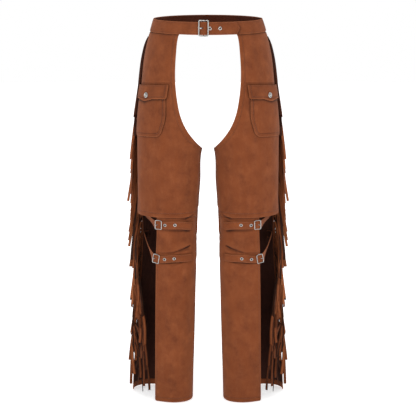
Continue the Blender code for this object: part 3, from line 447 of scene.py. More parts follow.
def painted_crease_shade(angle, z):
    """Painted shade in the sharp creases and the folds' troughs, and painted highlights on their ridges."""
    soft = np.clip(folded(angle, z, FOLDS[FOLDS[:, 4] < 0.0095]) / 0.0050, -0.35, 0.15)
    return soft + creased(angle, z)[1]


def metric(angle, z):
    """Metres along the leg for a radian round it."""
    return np.linalg.norm(leg_base(angle + 0.01, z) - leg_base(angle - 0.01, z), axis=-1) / 0.02


def edge_column(table, behind=False):
    sine = np.clip((MID_X - smooth_column(table, 1)) / HALF_WIDTH, -1.0, 1.0)
    return math.pi - np.arcsin(sine) if behind else np.arcsin(sine)


def swept(table, crotch_z, inseam, behind=False):
    """Angle of a panel's inner edge at FINE_Z: from its table, and on the inseam below the crotch."""
    column = edge_column(table, behind)
    last_z = table[-1, 0]
    last = np.interp(last_z, FINE_Z, column)
    joined = blend(inseam, last, ramp(FINE_Z, crotch_z, last_z))
    return np.where(FINE_Z < last_z, joined, column)


FRONT_INNER = swept(FRONT_EDGE, CROTCH_Z, INSEAM)
BACK_INNER = swept(BACK_EDGE, BACK_CROTCH_Z, INSEAM + 2 * math.pi, behind=True)
OUTSEAM_ANGLE = np.radians(smooth_column(OUTSEAM, 1))
FREE_ANGLE = np.radians(smooth_column(FREE_EDGE, 1))


def tucked(z):
    """The lower front lies under the thigh panel's hem."""
    return -(SUEDE + SEAM_GAP + 2 * FACET_ROOM) * ramp(z, TUCK_END_Z, TUCK_START_Z)


def tilted(angle, z):
    """Heights of the panels' rows, which follow the tilted waistband near their top."""
    tilt = WAIST_TILT * ramp(z, PANEL_TOP_Z - TILT_DEPTH, PANEL_TOP_Z)
    return z + tilt * leg_base(angle, z)[..., 1]


def round_corner(distance, radius):
    inside = np.clip(radius - np.maximum(distance, 0.0), 0.0, radius)
    return radius - np.sqrt(radius**2 - inside**2)


# ---------------------------------------------------------------- materials
def node_material(name):
    material = bpy.data.materials.new(name)
    material.use_nodes = True
    tree = material.node_tree
    where = tree.nodes.new("ShaderNodeTexCoord").outputs["Object"]
    return material, tree, tree.nodes["Principled BSDF"], where


def noise(tree, coordinates, scale, detail=2.0, roughness=0.5, stretch=None):
    if stretch:
        mapping = tree.nodes.new("ShaderNodeMapping")
        mapping.inputs["Scale"].default_value = stretch
        tree.links.new(coordinates, mapping.inputs["Vector"])
        coordinates = mapping.outputs["Vector"]
    node = tree.nodes.new("ShaderNodeTexNoise")
    node.inputs["Scale"].default_value = scale
    node.inputs["Detail"].default_value = detail
    node.inputs["Roughness"].default_value = roughness
    tree.links.new(coordinates, node.inputs["Vector"])
    return node.outputs["Fac"]


def spread(tree, value, low, high, to_low=0.0, to_high=1.0):
    node = tree.nodes.new("ShaderNodeMapRange")
    for socket, number in zip(("From Min", "From Max", "To Min", "To Max"), (low, high, to_low, to_high)):
        node.inputs[socket].default_value = number
    tree.links.new(value, node.inputs["Value"])
    return node.outputs["Result"]


def mixed(tree, factor, first, second):
    """Mix of two colours, each a colour or an output."""
    node = tree.nodes.new("ShaderNodeMix")
    node.data_type = "RGBA"
    tree.links.new(factor, node.inputs["Factor"])
    for socket, value in zip((node.inputs[6], node.inputs[7]), (first, second)):
        if isinstance(value, tuple):
            socket.default_value = (*value, 1.0)
        else:
            tree.links.new(value, socket)
    return node.outputs[2]


def bumped(tree, shader, layers):
    normal = None
    for height, strength, distance in layers:
        node = tree.nodes.new("ShaderNodeBump")
        node.inputs["Strength"].default_value = strength
        node.inputs["Distance"].default_value = distance
        tree.links.new(height, node.inputs["Height"])
        if normal:
            tree.links.new(normal, node.inputs["Normal"])
        normal = node.outputs["Normal"]
    tree.links.new(normal, shader.inputs["Normal"])


def suede(name, dark, base, light, wear_and_painted_light, sheen):
    """Brushed nap: mottled, with patches where it lies the other way, fine fibres and rubbed edges.

    The mesh's tone is below 0 where shade is painted: in the sewn grooves, in the creases and as
    painted shadows round the parts on the cloth. Over 0 it lightens towards the colour of edge wear,
    on the rubbed edges, and as painted light elsewhere.
    """
    material, tree, shader, where = node_material(name)
    cloud = noise(tree, where, 34.0, 4.0, 0.62)
    strokes = noise(tree, where, 55.0, 3.0, 0.6, stretch=(1.0, 1.0, 0.25))
    fibres = noise(tree, where, 1500.0, 2.0, 0.7)
    specks = noise(tree, where, 330.0, 2.0, 0.6)
    colour = mixed(tree, spread(tree, cloud, 0.30, 0.70), dark, light)
    colour = mixed(tree, spread(tree, strokes, 0.36, 0.64, 0.15, 0.75), colour, base)
    colour = mixed(tree, spread(tree, specks, 0.40, 0.75, 0.0, 0.22), colour, dark)
    colour = mixed(tree, spread(tree, fibres, 0.35, 0.75, 0.0, 0.30), colour, light)
    tone = tree.nodes.new("ShaderNodeAttribute")
    tone.attribute_name = "tone"
    # Negative tone darkens towards this colour as painted shade; positive tone lightens towards the wear
    # colour, as edge wear and as painted light.
    painted_shade_colour = tuple(0.20 * c for c in dark)
    colour = mixed(tree, spread(tree, tone.outputs["Fac"], 0.0, -1.0), colour, painted_shade_colour)
    colour = mixed(tree, spread(tree, tone.outputs["Fac"], 0.0, 1.0), colour, wear_and_painted_light)
    tree.links.new(colour, shader.inputs["Base Color"])
    tree.links.new(spread(tree, strokes, 0.3, 0.7, 0.84, 0.98), shader.inputs["Roughness"])
    shader.inputs["Specular IOR Level"].default_value = 0.18
    shader.inputs["Sheen Weight"].default_value = sheen
    shader.inputs["Sheen Roughness"].default_value = 0.55
    shader.inputs["Sheen Tint"].default_value = (1.0, 0.72, 0.55, 1.0)
    bumped(tree, shader, ((cloud, 0.25, 0.0040), (specks, 0.22, 0.0012), (fibres, 0.35, 0.0005)))
    return material


def metal(name, colour, roughness, dent):
    """Polished metal with faint scuffs and a slightly uneven face."""
    material, tree, shader, where = node_material(name)
    scuffs = noise(tree, where, 700.0, 4.0, 0.7)
    waves = noise(tree, where, 180.0, 2.0, 0.5)
    grime = noise(tree, where, 260.0, 3.0, 0.6)
    darker = tuple(0.45 * c for c in colour)
    tint = mixed(tree, spread(tree, grime, 0.48, 0.75, 0.0, 0.7), colour, darker)
    tree.links.new(tint, shader.inputs["Base Color"])
    tree.links.new(spread(tree, scuffs, 0.3, 0.8, roughness, roughness + 0.22), shader.inputs["Roughness"])
    shader.inputs["Metallic"].default_value = 1.0
    bumped(tree, shader, ((waves, dent, 0.0006), (scuffs, 0.08, 0.0002)))
    return material


def thread_material(name, colour, dark):
    material, tree, shader, where = node_material(name)
    twist = noise(tree, where, 2200.0, 2.0, 0.6)
    fade = noise(tree, where, 60.0, 2.0, 0.5)
    tint = mixed(tree, spread(tree, fade, 0.35, 0.65), colour, dark)
    tint = mixed(tree, spread(tree, twist, 0.4, 0.7, 0.0, 0.4), tint, dark)
    tree.links.new(tint, shader.inputs["Base Color"])
    tree.links.new(spread(tree, twist, 0.3, 0.7, 0.5, 0.7), shader.inputs["Roughness"])
    bumped(tree, shader, ((twist, 0.3, 0.0002),))
    return material


FACE = suede(
    "suede_face", dark=(0.092, 0.0208, 0.0054), base=(0.152, 0.0375, 0.0108),
    light=(0.216, 0.0590, 0.0178), wear_and_painted_light=(0.32, 0.104, 0.037), sheen=0.05,
)
# The suede's reverse: partly its own darker colour, partly painted shade, made near black for the shaded
# insides of the legs and the dark strands of the fringe.
BACKING = suede(
    "suede_reverse", dark=(0.018, 0.0047, 0.0030), base=(0.029, 0.0077, 0.0042),
    light=(0.044, 0.0122, 0.0062), wear_and_painted_light=(0.09, 0.028, 0.011), sheen=0.02,
)
# The band's inside: the face suede as a darker, redder copy, painted shade.
SUEDE_IN_PAINTED_SHADE = suede(
    "suede_inside_painted_shade", dark=(0.030, 0.0060, 0.0022), base=(0.050, 0.0098, 0.0030),
    light=(0.070, 0.0150, 0.0050), wear_and_painted_light=(0.11, 0.030, 0.010), sheen=0.0,
)
THREAD = thread_material("sewing_thread", (0.165, 0.045, 0.015), (0.115, 0.030, 0.010))
SILVER = metal("polished_metal", (0.42, 0.415, 0.40), 0.22, 0.12)
# A darkened copy of the metal, as painted shade inside the eyelets' barrels and in the grooves of the studs.
SHADOWED = metal("metal_in_painted_shade", (0.05, 0.04, 0.035), 0.5, 0.1)


# ---------------------------------------------------------------- meshes
def linked(name, data):
    obj = bpy.data.objects.new(name, data)
    bpy.context.scene.collection.objects.link(obj)
    return obj


def new_object(name, mesh, materials):
    for material in materials:
        mesh.materials.append(material)
    return linked(name, mesh)


def mesh_from(name, points, faces, slots=None, tone=None, sharp=50.0):
    mesh = bpy.data.meshes.new(name)
    mesh.from_pydata([tuple(p) for p in points], [], faces)
    if slots is not None:
        mesh.polygons.foreach_set("material_index", np.asarray(slots, np.int32))
    tone = np.zeros(len(points)) if tone is None else tone
    mesh.attributes.new("tone", "FLOAT", "POINT").data.foreach_set("value", np.asarray(tone, np.float32))
    whole = bmesh.new()
    whole.from_mesh(mesh)
    bmesh.ops.recalc_face_normals(whole, faces=whole.faces)
    whole.to_mesh(mesh)
    whole.free()
    mesh.shade_smooth()
    mesh.set_sharp_from_angle(angle=math.radians(sharp))
    return mesh


def shell(name, mid, out, thickness, tone, turned_in=None):
    """A closed wall of cloth with round edges about a grid of points.

    turned_in, from 0 to 1, is where cloth is turned in on the inner side: there it is thicker and
    shows the face.
    """
    rows, columns = mid.shape[:2]
    turned_in = np.zeros((rows, columns)) if turned_in is None else turned_in
    half = thickness / 2
    loop = [(0, j) for j in range(columns)] + [(i, columns - 1) for i in range(1, rows)]
    loop += [(rows - 1, j) for j in range(columns - 2, -1, -1)] + [(i, 0) for i in range(rows - 2, 0, -1)]
    li, lj = np.array(loop).T
    away = np.zeros_like(mid)
    away[0] += unit(mid[0] - mid[1])
    away[-1] += unit(mid[-1] - mid[-2])
    away[:, 0] += unit(mid[:, 0] - mid[:, 1])
    away[:, -1] += unit(mid[:, -1] - mid[:, -2])
    away = unit(away[li, lj])
    mid = mid.copy()
    mid[li, lj] -= away * half
    inside = half + turned_in * TURNED_THICK
    outer = mid + out * half
    inner = mid - out * inside[..., None]
    points = [outer.reshape(-1, 3), inner.reshape(-1, 3)]
    tones = [tone.ravel(), np.zeros(rows * columns)]
    centre, radius = (half - inside[li, lj]) / 2, (half + inside[li, lj]) / 2
    for degrees in (40, 90, 140):
        swing = math.radians(degrees)
        offset = centre + radius * math.cos(swing)
        points.append(mid[li, lj] + out[li, lj] * offset[:, None] + away * half * math.sin(swing))
        tones.append(tone[li, lj] + 0.25)
    count, around = rows * columns, len(loop)
    cell = np.array([(i, j) for i in range(rows - 1) for j in range(columns - 1)])
    first = cell[:, 0] * columns + cell[:, 1]
    quads = np.stack([first, first + 1, first + columns + 1, first + columns], axis=1)
    turned_cell = turned_in[cell[:, 0], cell[:, 1]] + turned_in[cell[:, 0] + 1, cell[:, 1] + 1] > 0.9
    ring = [li * columns + lj] + [2 * count + k * around + np.arange(around) for k in range(3)]
    ring.append(count + li * columns + lj)
    rim = [
        np.stack([a, b, np.roll(b, -1), np.roll(a, -1)], axis=1) for a, b in zip(ring[:-1], ring[1:])
    ]
    faces = np.concatenate([quads, quads[:, ::-1] + count] + rim)
    slots = np.concatenate([np.zeros(len(quads)), np.where(turned_cell, 0, 1), np.zeros(4 * around)])
    mesh = mesh_from(name, np.concatenate(points), faces.tolist(), slots, np.concatenate(tones))
    return new_object(name, mesh, (FACE, BACKING))


def groove(distance):
    """Depth of a sewn groove at a distance from its line."""
    ridge = bell(np.abs(distance) - 2.2 * GROOVE_WIDTH, GROOVE_WIDTH)
    return -GROOVE_DEPTH * bell(distance, GROOVE_WIDTH) + 0.3 * GROOVE_DEPTH * ridge


# Painted shade along a sewn groove.
def painted_groove_shade(distance):
    return GROOVE_SHADE * bell(distance, 1.1 * GROOVE_WIDTH)


def edge_tone(distance):
    return 0.22 * bell(distance, 0.0018)


STITCHES = []  # of the right leg, then of the belt


def sew(points, outs):
    """Stitches along a line on the cloth: each a short thread that dips in at both ends."""
    along = run_along(points)
    count = int(along[-1] / STITCH_PITCH)
    if count < 1:
        return
    middles = (np.arange(count) + 0.5) * along[-1] / count

    def sample(values, s):
        return np.stack([np.interp(s, along, values[:, k]) for k in range(3)], axis=1)

    centre, out = sample(points, middles), unit(sample(outs, middles))
    heading = unit(sample(points, middles + 0.0005) - sample(points, middles - 0.0005))
    side = unit(np.cross(heading, out))
    for c, n, h, s in zip(centre, out, heading, side):
        rings = []
        for share, size, sink in ((-0.5, 0.5, -1.1), (-0.22, 1.0, 0.1), (0.22, 1.0, 0.1), (0.5, 0.5, -1.1)):
            middle = c + h * share * STITCH_LENGTH + n * sink * STITCH_RADIUS
            for turn in range(4):
                swing = math.pi * (0.25 + 0.5 * turn)
                rings.append(middle + (s * math.cos(swing) + n * math.sin(swing)) * size * STITCH_RADIUS)
        STITCHES.append(rings)


def sewing_mesh(name, threads):
    points, faces = [], []
    for rings in threads:
        base = len(points)
        points.extend(rings)
        for k in range(3):
            for turn in range(4):
                a, b = base + 4 * k + turn, base + 4 * k + (turn + 1) % 4
                faces.append((a, b, b + 4, a + 4))
        faces.append((base + 3, base + 2, base + 1, base))
        faces.append((base + 12, base + 13, base + 14, base + 15))
    return mesh_from(name, points, faces, sharp=80.0)


# ---------------------------------------------------------------- leg panels
EDGE_COLUMNS = np.array([
    0.0, 0.0022, 0.0045, 0.0068, 0.0085, 0.0096, 0.0105, 0.0114, 0.0125, 0.0146, 0.0160, 0.0200,
])
HEM_ROWS = np.array([
    0.0, 0.0022, 0.0048, 0.0075, 0.0095, 0.0106, 0.0115, 0.0124, 0.0138, 0.0158, 0.0172, 0.0220,
])
SEAM_COLUMNS = np.array([0.0, 0.0022, 0.0042, 0.0054, 0.0062, 0.0070, 0.0082, 0.0110])
SEAM_STITCH = 0.0062  # the sewing beside a closed seam
FREE_STITCH = 0.0045  # and along the lower front's free edge
BEHIND_BAND = np.array([0.0025, 0.0060, 0.0100])  # the panels' top rows run on up behind the waistband
BEHIND_DEPTH = 0.0030
FINE_ZONE = (-0.478, -0.632)  # heights of the creased cloth about the knee
FINE_STEP = 0.0015
STITCH_ENDS = 0.008  # sewing stops this far from a panel's other edges


def gap_angle(z):
    return (0.5 * SEAM_GAP + 0.0001) / at(HALF_WIDTH, z)


def rows_between(top, bottom, step):
    """Heights of rows, a step apart and closer together about the knee."""
    z, heights = top, []
    while z > bottom + 0.5 * step:
        heights.append(z)
        z -= FINE_STEP if FINE_ZONE[1] < z < FINE_ZONE[0] else step
    return np.array(heights + [bottom])


class Panel:
    """A leg panel on a grid whose outer columns and lower rows keep their distance from its edges."""

    def __init__(self, top, bottom, start, end, columns, step, corners, tilt):
        self.start, self.end = start, end
        body = rows_between(top, bottom + HEM_ROWS[-1], step)
        heights = np.concatenate([body[:-1], bottom + HEM_ROWS[::-1]])
        left, right, inner = columns
        angles, from_start, from_end = [], [], []
        for z in heights:
            fine = np.linspace(start(z), end(z), 200)
            line = leg_base(fine, np.full_like(fine, z))
            along = run_along(line)
            slope = [
                metric(edge(z), z) * (edge(z + 0.002) - edge(z - 0.002)) / 0.004 for edge in (start, end)
            ]
            stretch = [min(math.hypot(1.0, s), 1.7) for s in slope]
            near, far = left * stretch[0], along[-1] - right[::-1] * stretch[1]
            spots = np.concatenate([near, np.linspace(near[-1], far[0], inner + 2)[1:-1], far])
            angles.append(np.interp(spots, along, fine))
            from_start.append(spots / stretch[0])
            from_end.append((along[-1] - spots) / stretch[1])
        self.angle, self.from_start, self.from_end = map(np.array, (angles, from_start, from_end))
        self.z = np.repeat(heights[:, None], self.angle.shape[1], axis=1)
        self.from_hem = self.z - bottom
        rise = round_corner(self.from_start, corners[0]) + round_corner(self.from_end, corners[1])
        self.z = self.z + rise * (1 - ramp(self.from_hem, 0.0, 0.03))
        self.behind = np.zeros_like(self.z)
        if tilt:
            count = len(BEHIND_BAND)
            extra = np.repeat((heights[0] + BEHIND_BAND[::-1])[:, None], self.angle.shape[1], axis=1)
            self.z = tilted(self.angle, self.z)
            shift = self.z[0] - heights[0]
            self.z = np.concatenate([extra + shift[None], self.z])
            for name in ("angle", "from_start", "from_end", "from_hem"):
                grid = getattr(self, name)
                setattr(self, name, np.concatenate([np.repeat(grid[:1], count, axis=0), grid]))
            from_band = self.z - self.z[count][None]
            self.behind = -BEHIND_DEPTH * ramp(from_band, -0.0040, 0.0010)
            self.from_band = -from_band
        else:
            self.from_band = np.ones_like(self.z)

    def build(self, name, lines, lift=None, free=(TURNED_IN, TURNED_IN), shade=None):
        """lines are the sewn grooves, each a side and its distance from that side."""
        distance = {"start": self.from_start, "end": self.from_end, "hem": self.from_hem}
        height = self.behind + (lift(self.z) if lift else 0.0)
        # Painted shadow under the waistband's lower edge; the cloth is also darker towards the hem.
        under_band = 0.50 * fading(self.from_band, 0.0022)
        tone = -0.10 * np.exp(-self.from_hem / 0.035) - under_band
        tone = tone + painted_crease_shade(self.angle, self.z) + (shade(self.angle, self.z) if shade else 0.0)
        for side, inset in lines:
            limit = 1.0
            if side != "hem":
                limit = ramp(self.from_hem, 0.006, 0.010)
            height = height + groove(distance[side] - inset) * limit
            tone = tone + painted_groove_shade(distance[side] - inset) * limit
        tone += edge_tone(self.from_hem)
        turned_in = 1 - ramp(self.from_hem, TURNED_IN, TURNED_IN + 0.001)
        for side, wide in zip(("start", "end"), free):
            if wide:
                tone = tone + edge_tone(distance[side])
                turned_in = np.maximum(turned_in, 1 - ramp(distance[side], wide, wide + 0.001))
        points = lay(self.angle, self.z, height)
        return shell(name, points, leg_out(self.angle, self.z), SUEDE, tone, turned_in)

    def sewn(self, side, inset, top=None):
        """Points along a line of sewing at its distance from a side."""
        if side == "hem":
            row = int(np.argmin(np.abs(self.from_hem[:, 0] - inset)))
            keep = (self.from_start[row] > STITCH_ENDS) & (self.from_end[row] > STITCH_ENDS)
            angle, z, count = self.angle[row][keep], self.z[row][keep], 300
        else:
            distance = self.from_start if side == "start" else self.from_end
            column = int(np.argmin(np.abs(distance[-1] - inset)))
            keep = (self.from_hem[:, column] > STITCH_ENDS) & (self.from_band[:, 0] > 0.002)
            if top is not None:
                keep &= self.z[:, column] < top
            angle, z, count = self.angle[keep, column], self.z[keep, column], 900
        share, fine = np.linspace(0, 1, len(angle)), np.linspace(0, 1, count)
        return np.interp(fine, share, angle), np.interp(fine, share, z)


def eyelet_shade(distance):
    """Painted shadow on the cloth that an eyelet's hole shows."""
    return -1.2 * np.exp(-((distance / 0.0052) ** 4))


def strap_shade(angle, z):
    """Painted shadows right above and below the straps, beside their sewn ends, in the eyelets' holes and
    under the thigh panel's hem, with painted shade between the straps and painted light on the shin's inner
    and outer sides.
    """
    tone = np.where(z < KNEE_HEM_Z + 0.004, -0.80 * fading(KNEE_HEM_Z - z, 0.0030), 0.0)
    for sizes in STRAPS.values():
        inner, outer = math.radians(sizes["inner_angle"]), math.radians(sizes["buckle_angle"])
        share = np.clip((outer - angle) / (outer - inner), 0.0, 1.0)
        off = z - strap_height(sizes, share)
        beyond = np.maximum(np.abs(off) - STRAP_WIDTH / 2, 0.0)
        depth = np.where(off < 0, 0.55, 0.30) * ramp(angle, inner - 0.06, inner)
        tone = tone - depth * np.exp(-beyond / 0.0024)
        past_end = (inner - angle) * 0.080
        tone = tone - 0.55 * fading(past_end, 0.0018) * (past_end > 0) * (beyond < 0.0005)
        for distance in sizes["eyelets"]:
            spot = np.hypot((outer - angle) * at(HALF_WIDTH, z) - distance, off)
            tone = tone + eyelet_shade(spot)
    tone = tone - 0.07 * bell(z + 0.563, 0.024)
    return tone + 0.10 * ramp(angle, -0.75, -1.10) + 0.06 * ramp(angle, 0.16, 0.30)


def pocket_first(z):
    sine = (at(MID_X, z) - np.interp(z, POCKET_EDGE[::-1, 0], POCKET_EDGE[::-1, 1])) / at(HALF_WIDTH, z)
    return np.arcsin(np.clip(sine, -1.0, 1.0))


def flap_shade(angle, z):
    """Painted shadow right round the flap, most under its lower edge, with a painted highlight and a painted
    shadow line above it.
    """
    first, inner = math.radians(FLAP_BOTTOM_ANGLES[0]), math.radians(FLAP_TOP_ANGLES[0])
    span = math.radians(FLAP_BOTTOM_ANGLES[1] - FLAP_BOTTOM_ANGLES[0])
    share = np.clip((angle - first) / span, 0.0, 1.0)
    below = flap_spot(share, 1.0)[1] - z + 0.0008
    beside = fading(inner - angle, 0.02)
    shade = -1.0 * fading(below - 0.0012, 0.0030) * (below > 0) * beside
    above = z - flap_spot(share, 0.0)[1]
    shade = shade - 0.45 * fading(above, 0.0016) * (above > 0) * beside
    light = 0.16 * bell(above - 0.0080, 0.0016)
    dark = 0.30 * bell(above - 0.0052, 0.0016)
    shade = shade + beside * ramp(angle, math.radians(92.0), math.radians(86.0)) * (light - dark)
    side = (inner - angle) * 0.11
    level = (above < 0) & (below < 0)
    return shade - 0.40 * fading(side, 0.0018) * level * (side > 0)


def pocket_shade(angle, z):
    """Painted shadow round the pocket as well, and painted light towards the thigh's outer side."""
    first, last = pocket_first(z), POCKET_OUTER
    share = (angle - first) / (last - first)
    across, up = share * POCKET_SPAN, z + POCKET_SLANT * np.clip(share, 0.0, 1.0) - POCKET_BOTTOM_Z
    half_wide, half_tall = POCKET_SPAN / 2 - POCKET_CORNER, POCKET_HALF_TALL - POCKET_CORNER
    dx = np.maximum(np.abs(across - POCKET_SPAN / 2) - half_wide, 0.0)
    dz = np.maximum(np.abs(up - POCKET_HALF_TALL) - half_tall, 0.0)
    outside = np.hypot(dx, dz) - POCKET_CORNER
    near = -0.85 * fading(outside, 0.0019) * (z < FLAP_BOTTOM_Z) * (outside > -0.001)
    return near + flap_shade(angle, z) + 0.05 * ramp(angle, 1.0, 1.4)


def edge_shade(angle, z):
    """Painted shadow on the back panel's front edge, where the strands hang over it."""
    inside = (angle - at(OUTSEAM_ANGLE, z)) * at(HALF_WIDTH, z)
    return -0.85 * ramp(inside, 0.0065, 0.0035) * ramp(z, -0.490, -0.510) * ramp(z, -0.800, -0.720)


def sew_on_leg(angle, z, lift):
    sew(lay(angle, z, lift), leg_out(angle, z))


def make_leg_panels():
    on_face = SUEDE / 2 - GROOVE_DEPTH + STITCH_RADIUS * 0.6
    thigh = Panel(
        PANEL_TOP_Z, KNEE_HEM_Z, lambda z: at(FRONT_INNER, z) + gap_angle(z),
        lambda z: at(OUTSEAM_ANGLE, z) - gap_angle(z), (EDGE_COLUMNS, SEAM_COLUMNS, 84), 0.0026,
        (0.004, 0.008), True,
    )
    shin = Panel(
        KNEE_TUCK_Z, HEM_Z, lambda z: INSEAM + gap_angle(z), lambda z: at(FREE_ANGLE, z),
        (EDGE_COLUMNS, EDGE_COLUMNS, 40), 0.0050, (0.011, 0.004), False,
    )
    back = Panel(
        PANEL_TOP_Z, HEM_Z, lambda z: at(OUTSEAM_ANGLE, z) + gap_angle(z),
        lambda z: at(BACK_INNER, z) - gap_angle(z), (EDGE_COLUMNS, EDGE_COLUMNS, 34), 0.0060,
        (0.006, 0.002), True,
    )
    made = {}
    made["thigh_front"] = thigh.build(
        "thigh_front", [("start", TOPSTITCH), ("end", SEAM_STITCH), ("hem", HEM_STITCH)],
        free=(TURNED_IN, 0.0), shade=pocket_shade,
    )
    for side, inset in (("start", TOPSTITCH), ("end", SEAM_STITCH), ("hem", HEM_STITCH)):
        sew_on_leg(*thigh.sewn(side, inset), on_face)
    made["shin_front"] = shin.build(
        "shin_front", [("start", TOPSTITCH), ("end", FREE_STITCH), ("hem", HEM_STITCH)],
        lift=tucked, shade=strap_shade,
    )
    for side, inset in (("start", TOPSTITCH), ("end", FREE_STITCH)):
        angle, z = shin.sewn(side, inset, top=KNEE_HEM_Z - 0.003)
        sew_on_leg(angle, z, on_face + tucked(z))
    angle, z = shin.sewn("hem", HEM_STITCH)
    sew_on_leg(angle, z, on_face)
    made["back_panel"] = back.build(
        "back_panel", [("start", TOPSTITCH), ("end", TOPSTITCH), ("hem", HEM_STITCH)], free=(0.0, TURNED_IN),
        shade=edge_shade,
    )
    sew_on_leg(*back.sewn("end", TOPSTITCH), on_face)
    sew_on_leg(*back.sewn("start", TOPSTITCH, top=FRINGE_BOTTOM_Z - 0.004), on_face)
    sew_on_leg(*back.sewn("hem", HEM_STITCH), on_face)
    return made


# ---------------------------------------------------------------- pocket and flap
def make_pocket():
    last = POCKET_OUTER
    lift = SUEDE / 2 + SEAM_GAP + FACET_ROOM + PATCH / 2
    corner_z = POCKET_BOTTOM_Z + POCKET_CORNER
    width = (last - float(pocket_first(-0.22))) * float(at(HALF_WIDTH, -0.22))
    side_lines = (0.0030, 0.0080)
    near = np.array([
        0.0, 0.0016, 0.0024, 0.0030, 0.0036, 0.0050, 0.0066, 0.0074, 0.0080, 0.0086, 0.0100, 0.0130,
    ])
    across = columns_across(near, width, 44)
    side = np.minimum(across, width - across)
    share = across / width
    bottom = POCKET_BOTTOM_Z + round_corner(side, POCKET_CORNER)
    up = np.concatenate([near, np.linspace(near[-1], 0.1, 64)[1:]])[::-1]
    up_share = up / up[0]
    z = bottom[None, :] + (POCKET_TOP_Z - bottom)[None, :] * up_share[:, None]
    angle = blend(pocket_first(z), last, share[None, :])
    inside = POCKET_CORNER - np.minimum(side, POCKET_CORNER)
    corner_down = np.hypot(inside[None, :], np.maximum(corner_z - z, 0.0))
    in_corner = (inside[None, :] > 0) & (z < corner_z)
    straight = np.minimum(np.broadcast_to(side[None, :], z.shape), z - POCKET_BOTTOM_Z)
    distance = np.where(in_corner, POCKET_CORNER - corner_down, straight)
    puff = 0.0016 * ramp(distance, 0.008, 0.030) * (1 - ramp(z, -0.20, -0.165))
    height = lift + puff
    # Painted shadow of the flap on the pocket, and painted shade along its sewn grooves.
    tone = 1.3 * edge_tone(distance) + flap_shade(angle, z)
    for inset in side_lines:
        height = height + 0.6 * groove((distance - inset) * 1.4)
        tone = tone + (1.6 if inset < 0.005 else 4.2) * painted_groove_shade((distance - inset) * 1.2)
    z = z - POCKET_SLANT * share[None, :]
    obj = shell("pocket", lay(angle, z, height), leg_out(angle, z), PATCH, tone)
    for inset in side_lines:
        radius = POCKET_CORNER - inset
        down = [(inset, z) for z in np.linspace(FLAP_BOTTOM_Z + 0.004, corner_z, 30)]
        curve = [
            (POCKET_CORNER - radius * math.cos(a), corner_z - radius * math.sin(a))
            for a in np.linspace(0, math.pi / 2, 16)
        ]
        outline = down + curve
        outline += [(width - s, z) for s, z in reversed(outline)]
        s, z = np.array(outline).T
        angle, z = blend(pocket_first(z), last, s / width), z - POCKET_SLANT * s / width
        sew_on_leg(angle, z, lift + PATCH / 2 - STITCH_SINK)
    return obj


def flap_lift(share, level):
    base = SUEDE / 2 + PATCH + 2 * (SEAM_GAP + FACET_ROOM) + PATCH / 2
    return base + level * (FLAP_FLARE[0] + (FLAP_FLARE[1] - FLAP_FLARE[0]) * share**2)


def flap_spot(share, level):
    """Angle and height of a point of the flap."""
    first = np.radians(blend(FLAP_TOP_ANGLES[0], FLAP_BOTTOM_ANGLES[0], level))
    last = np.radians(blend(FLAP_TOP_ANGLES[1], FLAP_BOTTOM_ANGLES[1], level))
    peak = np.sqrt((2 * share - 1) ** 2 + 0.0012)
    point_share = np.clip(1.09 - peak / 0.40, 0.0, 1.0) ** 1.15
    corner = round_corner(np.minimum(share, 1 - share) * POCKET_SPAN, FLAP_CORNER)
    z = blend(FLAP_TOP_Z, FLAP_BOTTOM_Z - FLAP_POINT * point_share + corner, level) - POCKET_SLANT * share
    return blend(first, last, share), z


def make_pocket_flap():
    width, depth, inset = POCKET_SPAN, FLAP_DEPTH, FLAP_STITCH
    side = np.array([0.0, 0.0016, 0.0034, 0.0048, 0.0056, 0.0060, 0.0064, 0.0074, 0.0100])
    across = columns_across(side, width, 30)
    top_rows, middle_rows = [0.0, 0.0016, 0.0026, 0.0034], np.linspace(0.006, depth - 0.012, 8)
    down = np.concatenate([top_rows, middle_rows, depth - side[::-1]])
    share, level = np.meshgrid(across / width, down / depth)
    angle, z = flap_spot(share, level)
    edge = np.minimum(np.minimum(share, 1 - share) * width, (1 - level) * depth)
    top = level * depth
    sewn_edge, sewn_top = edge - inset, top - FLAP_TOP_STITCH
    height = flap_lift(share, level) + 0.6 * groove(sewn_edge * 1.3) + 0.6 * groove(sewn_top * 1.5)
    height = height + 0.0012 * ramp(edge, 0.006, 0.018) * ramp(top, 0.004, 0.014)
    press = np.hypot((angle - math.radians(BUTTON_ANGLE)) * 0.105, z - BUTTON_Z)
    height = height - 0.0012 * bell(press, 0.011)
    tone = 1.3 * edge_tone(edge) + 2.2 * painted_groove_shade(sewn_edge * 1.2) + 1.5 * painted_groove_shade(sewn_top * 1.4)
    # Painted shadow in a ring round the button, and a slight painted shade over the whole flap.
    tone = tone - 0.35 * bell(press - BUTTON_RADIUS, 0.0012) - 0.06
    obj = shell("pocket_flap", lay(angle, z, height), leg_out(angle, z), PATCH, tone)
    first, last = inset / width, 1 - inset / width
    share = np.concatenate([np.full(40, first), np.linspace(first, last, 120), np.full(40, last)])
    low = 1 - inset / depth
    level = np.concatenate([np.linspace(0.08, low, 40), np.full(120, low), np.linspace(low, 0.08, 40)])
    angle, z = flap_spot(share, level)
    sew_on_leg(angle, z, flap_lift(share, level) + PATCH / 2 - STITCH_SINK)
    angle, z = flap_spot(np.linspace(0, 1, 120) * 0.94 + 0.03, np.full(120, FLAP_TOP_STITCH / depth))
    sew_on_leg(angle, z, flap_lift(0.5, 0.06) + PATCH / 2 - STITCH_SINK)
    return obj


# ---------------------------------------------------------------- metal
def placed(across, up, normal, origin):
    place = Matrix((across, up, normal)).transposed().to_4x4()
    place.translation = origin
    return place


def surface_frame(angle, z, lift):
    """A frame on the leg: Z outward, Y up the leg."""
    normal = Vector(leg_out(angle, z))
    up = Vector((0, 0, 1))
    up = (up - normal * up.dot(normal)).normalized()
    return placed(up.cross(normal), up, normal, Vector(lay(angle, z, lift)))


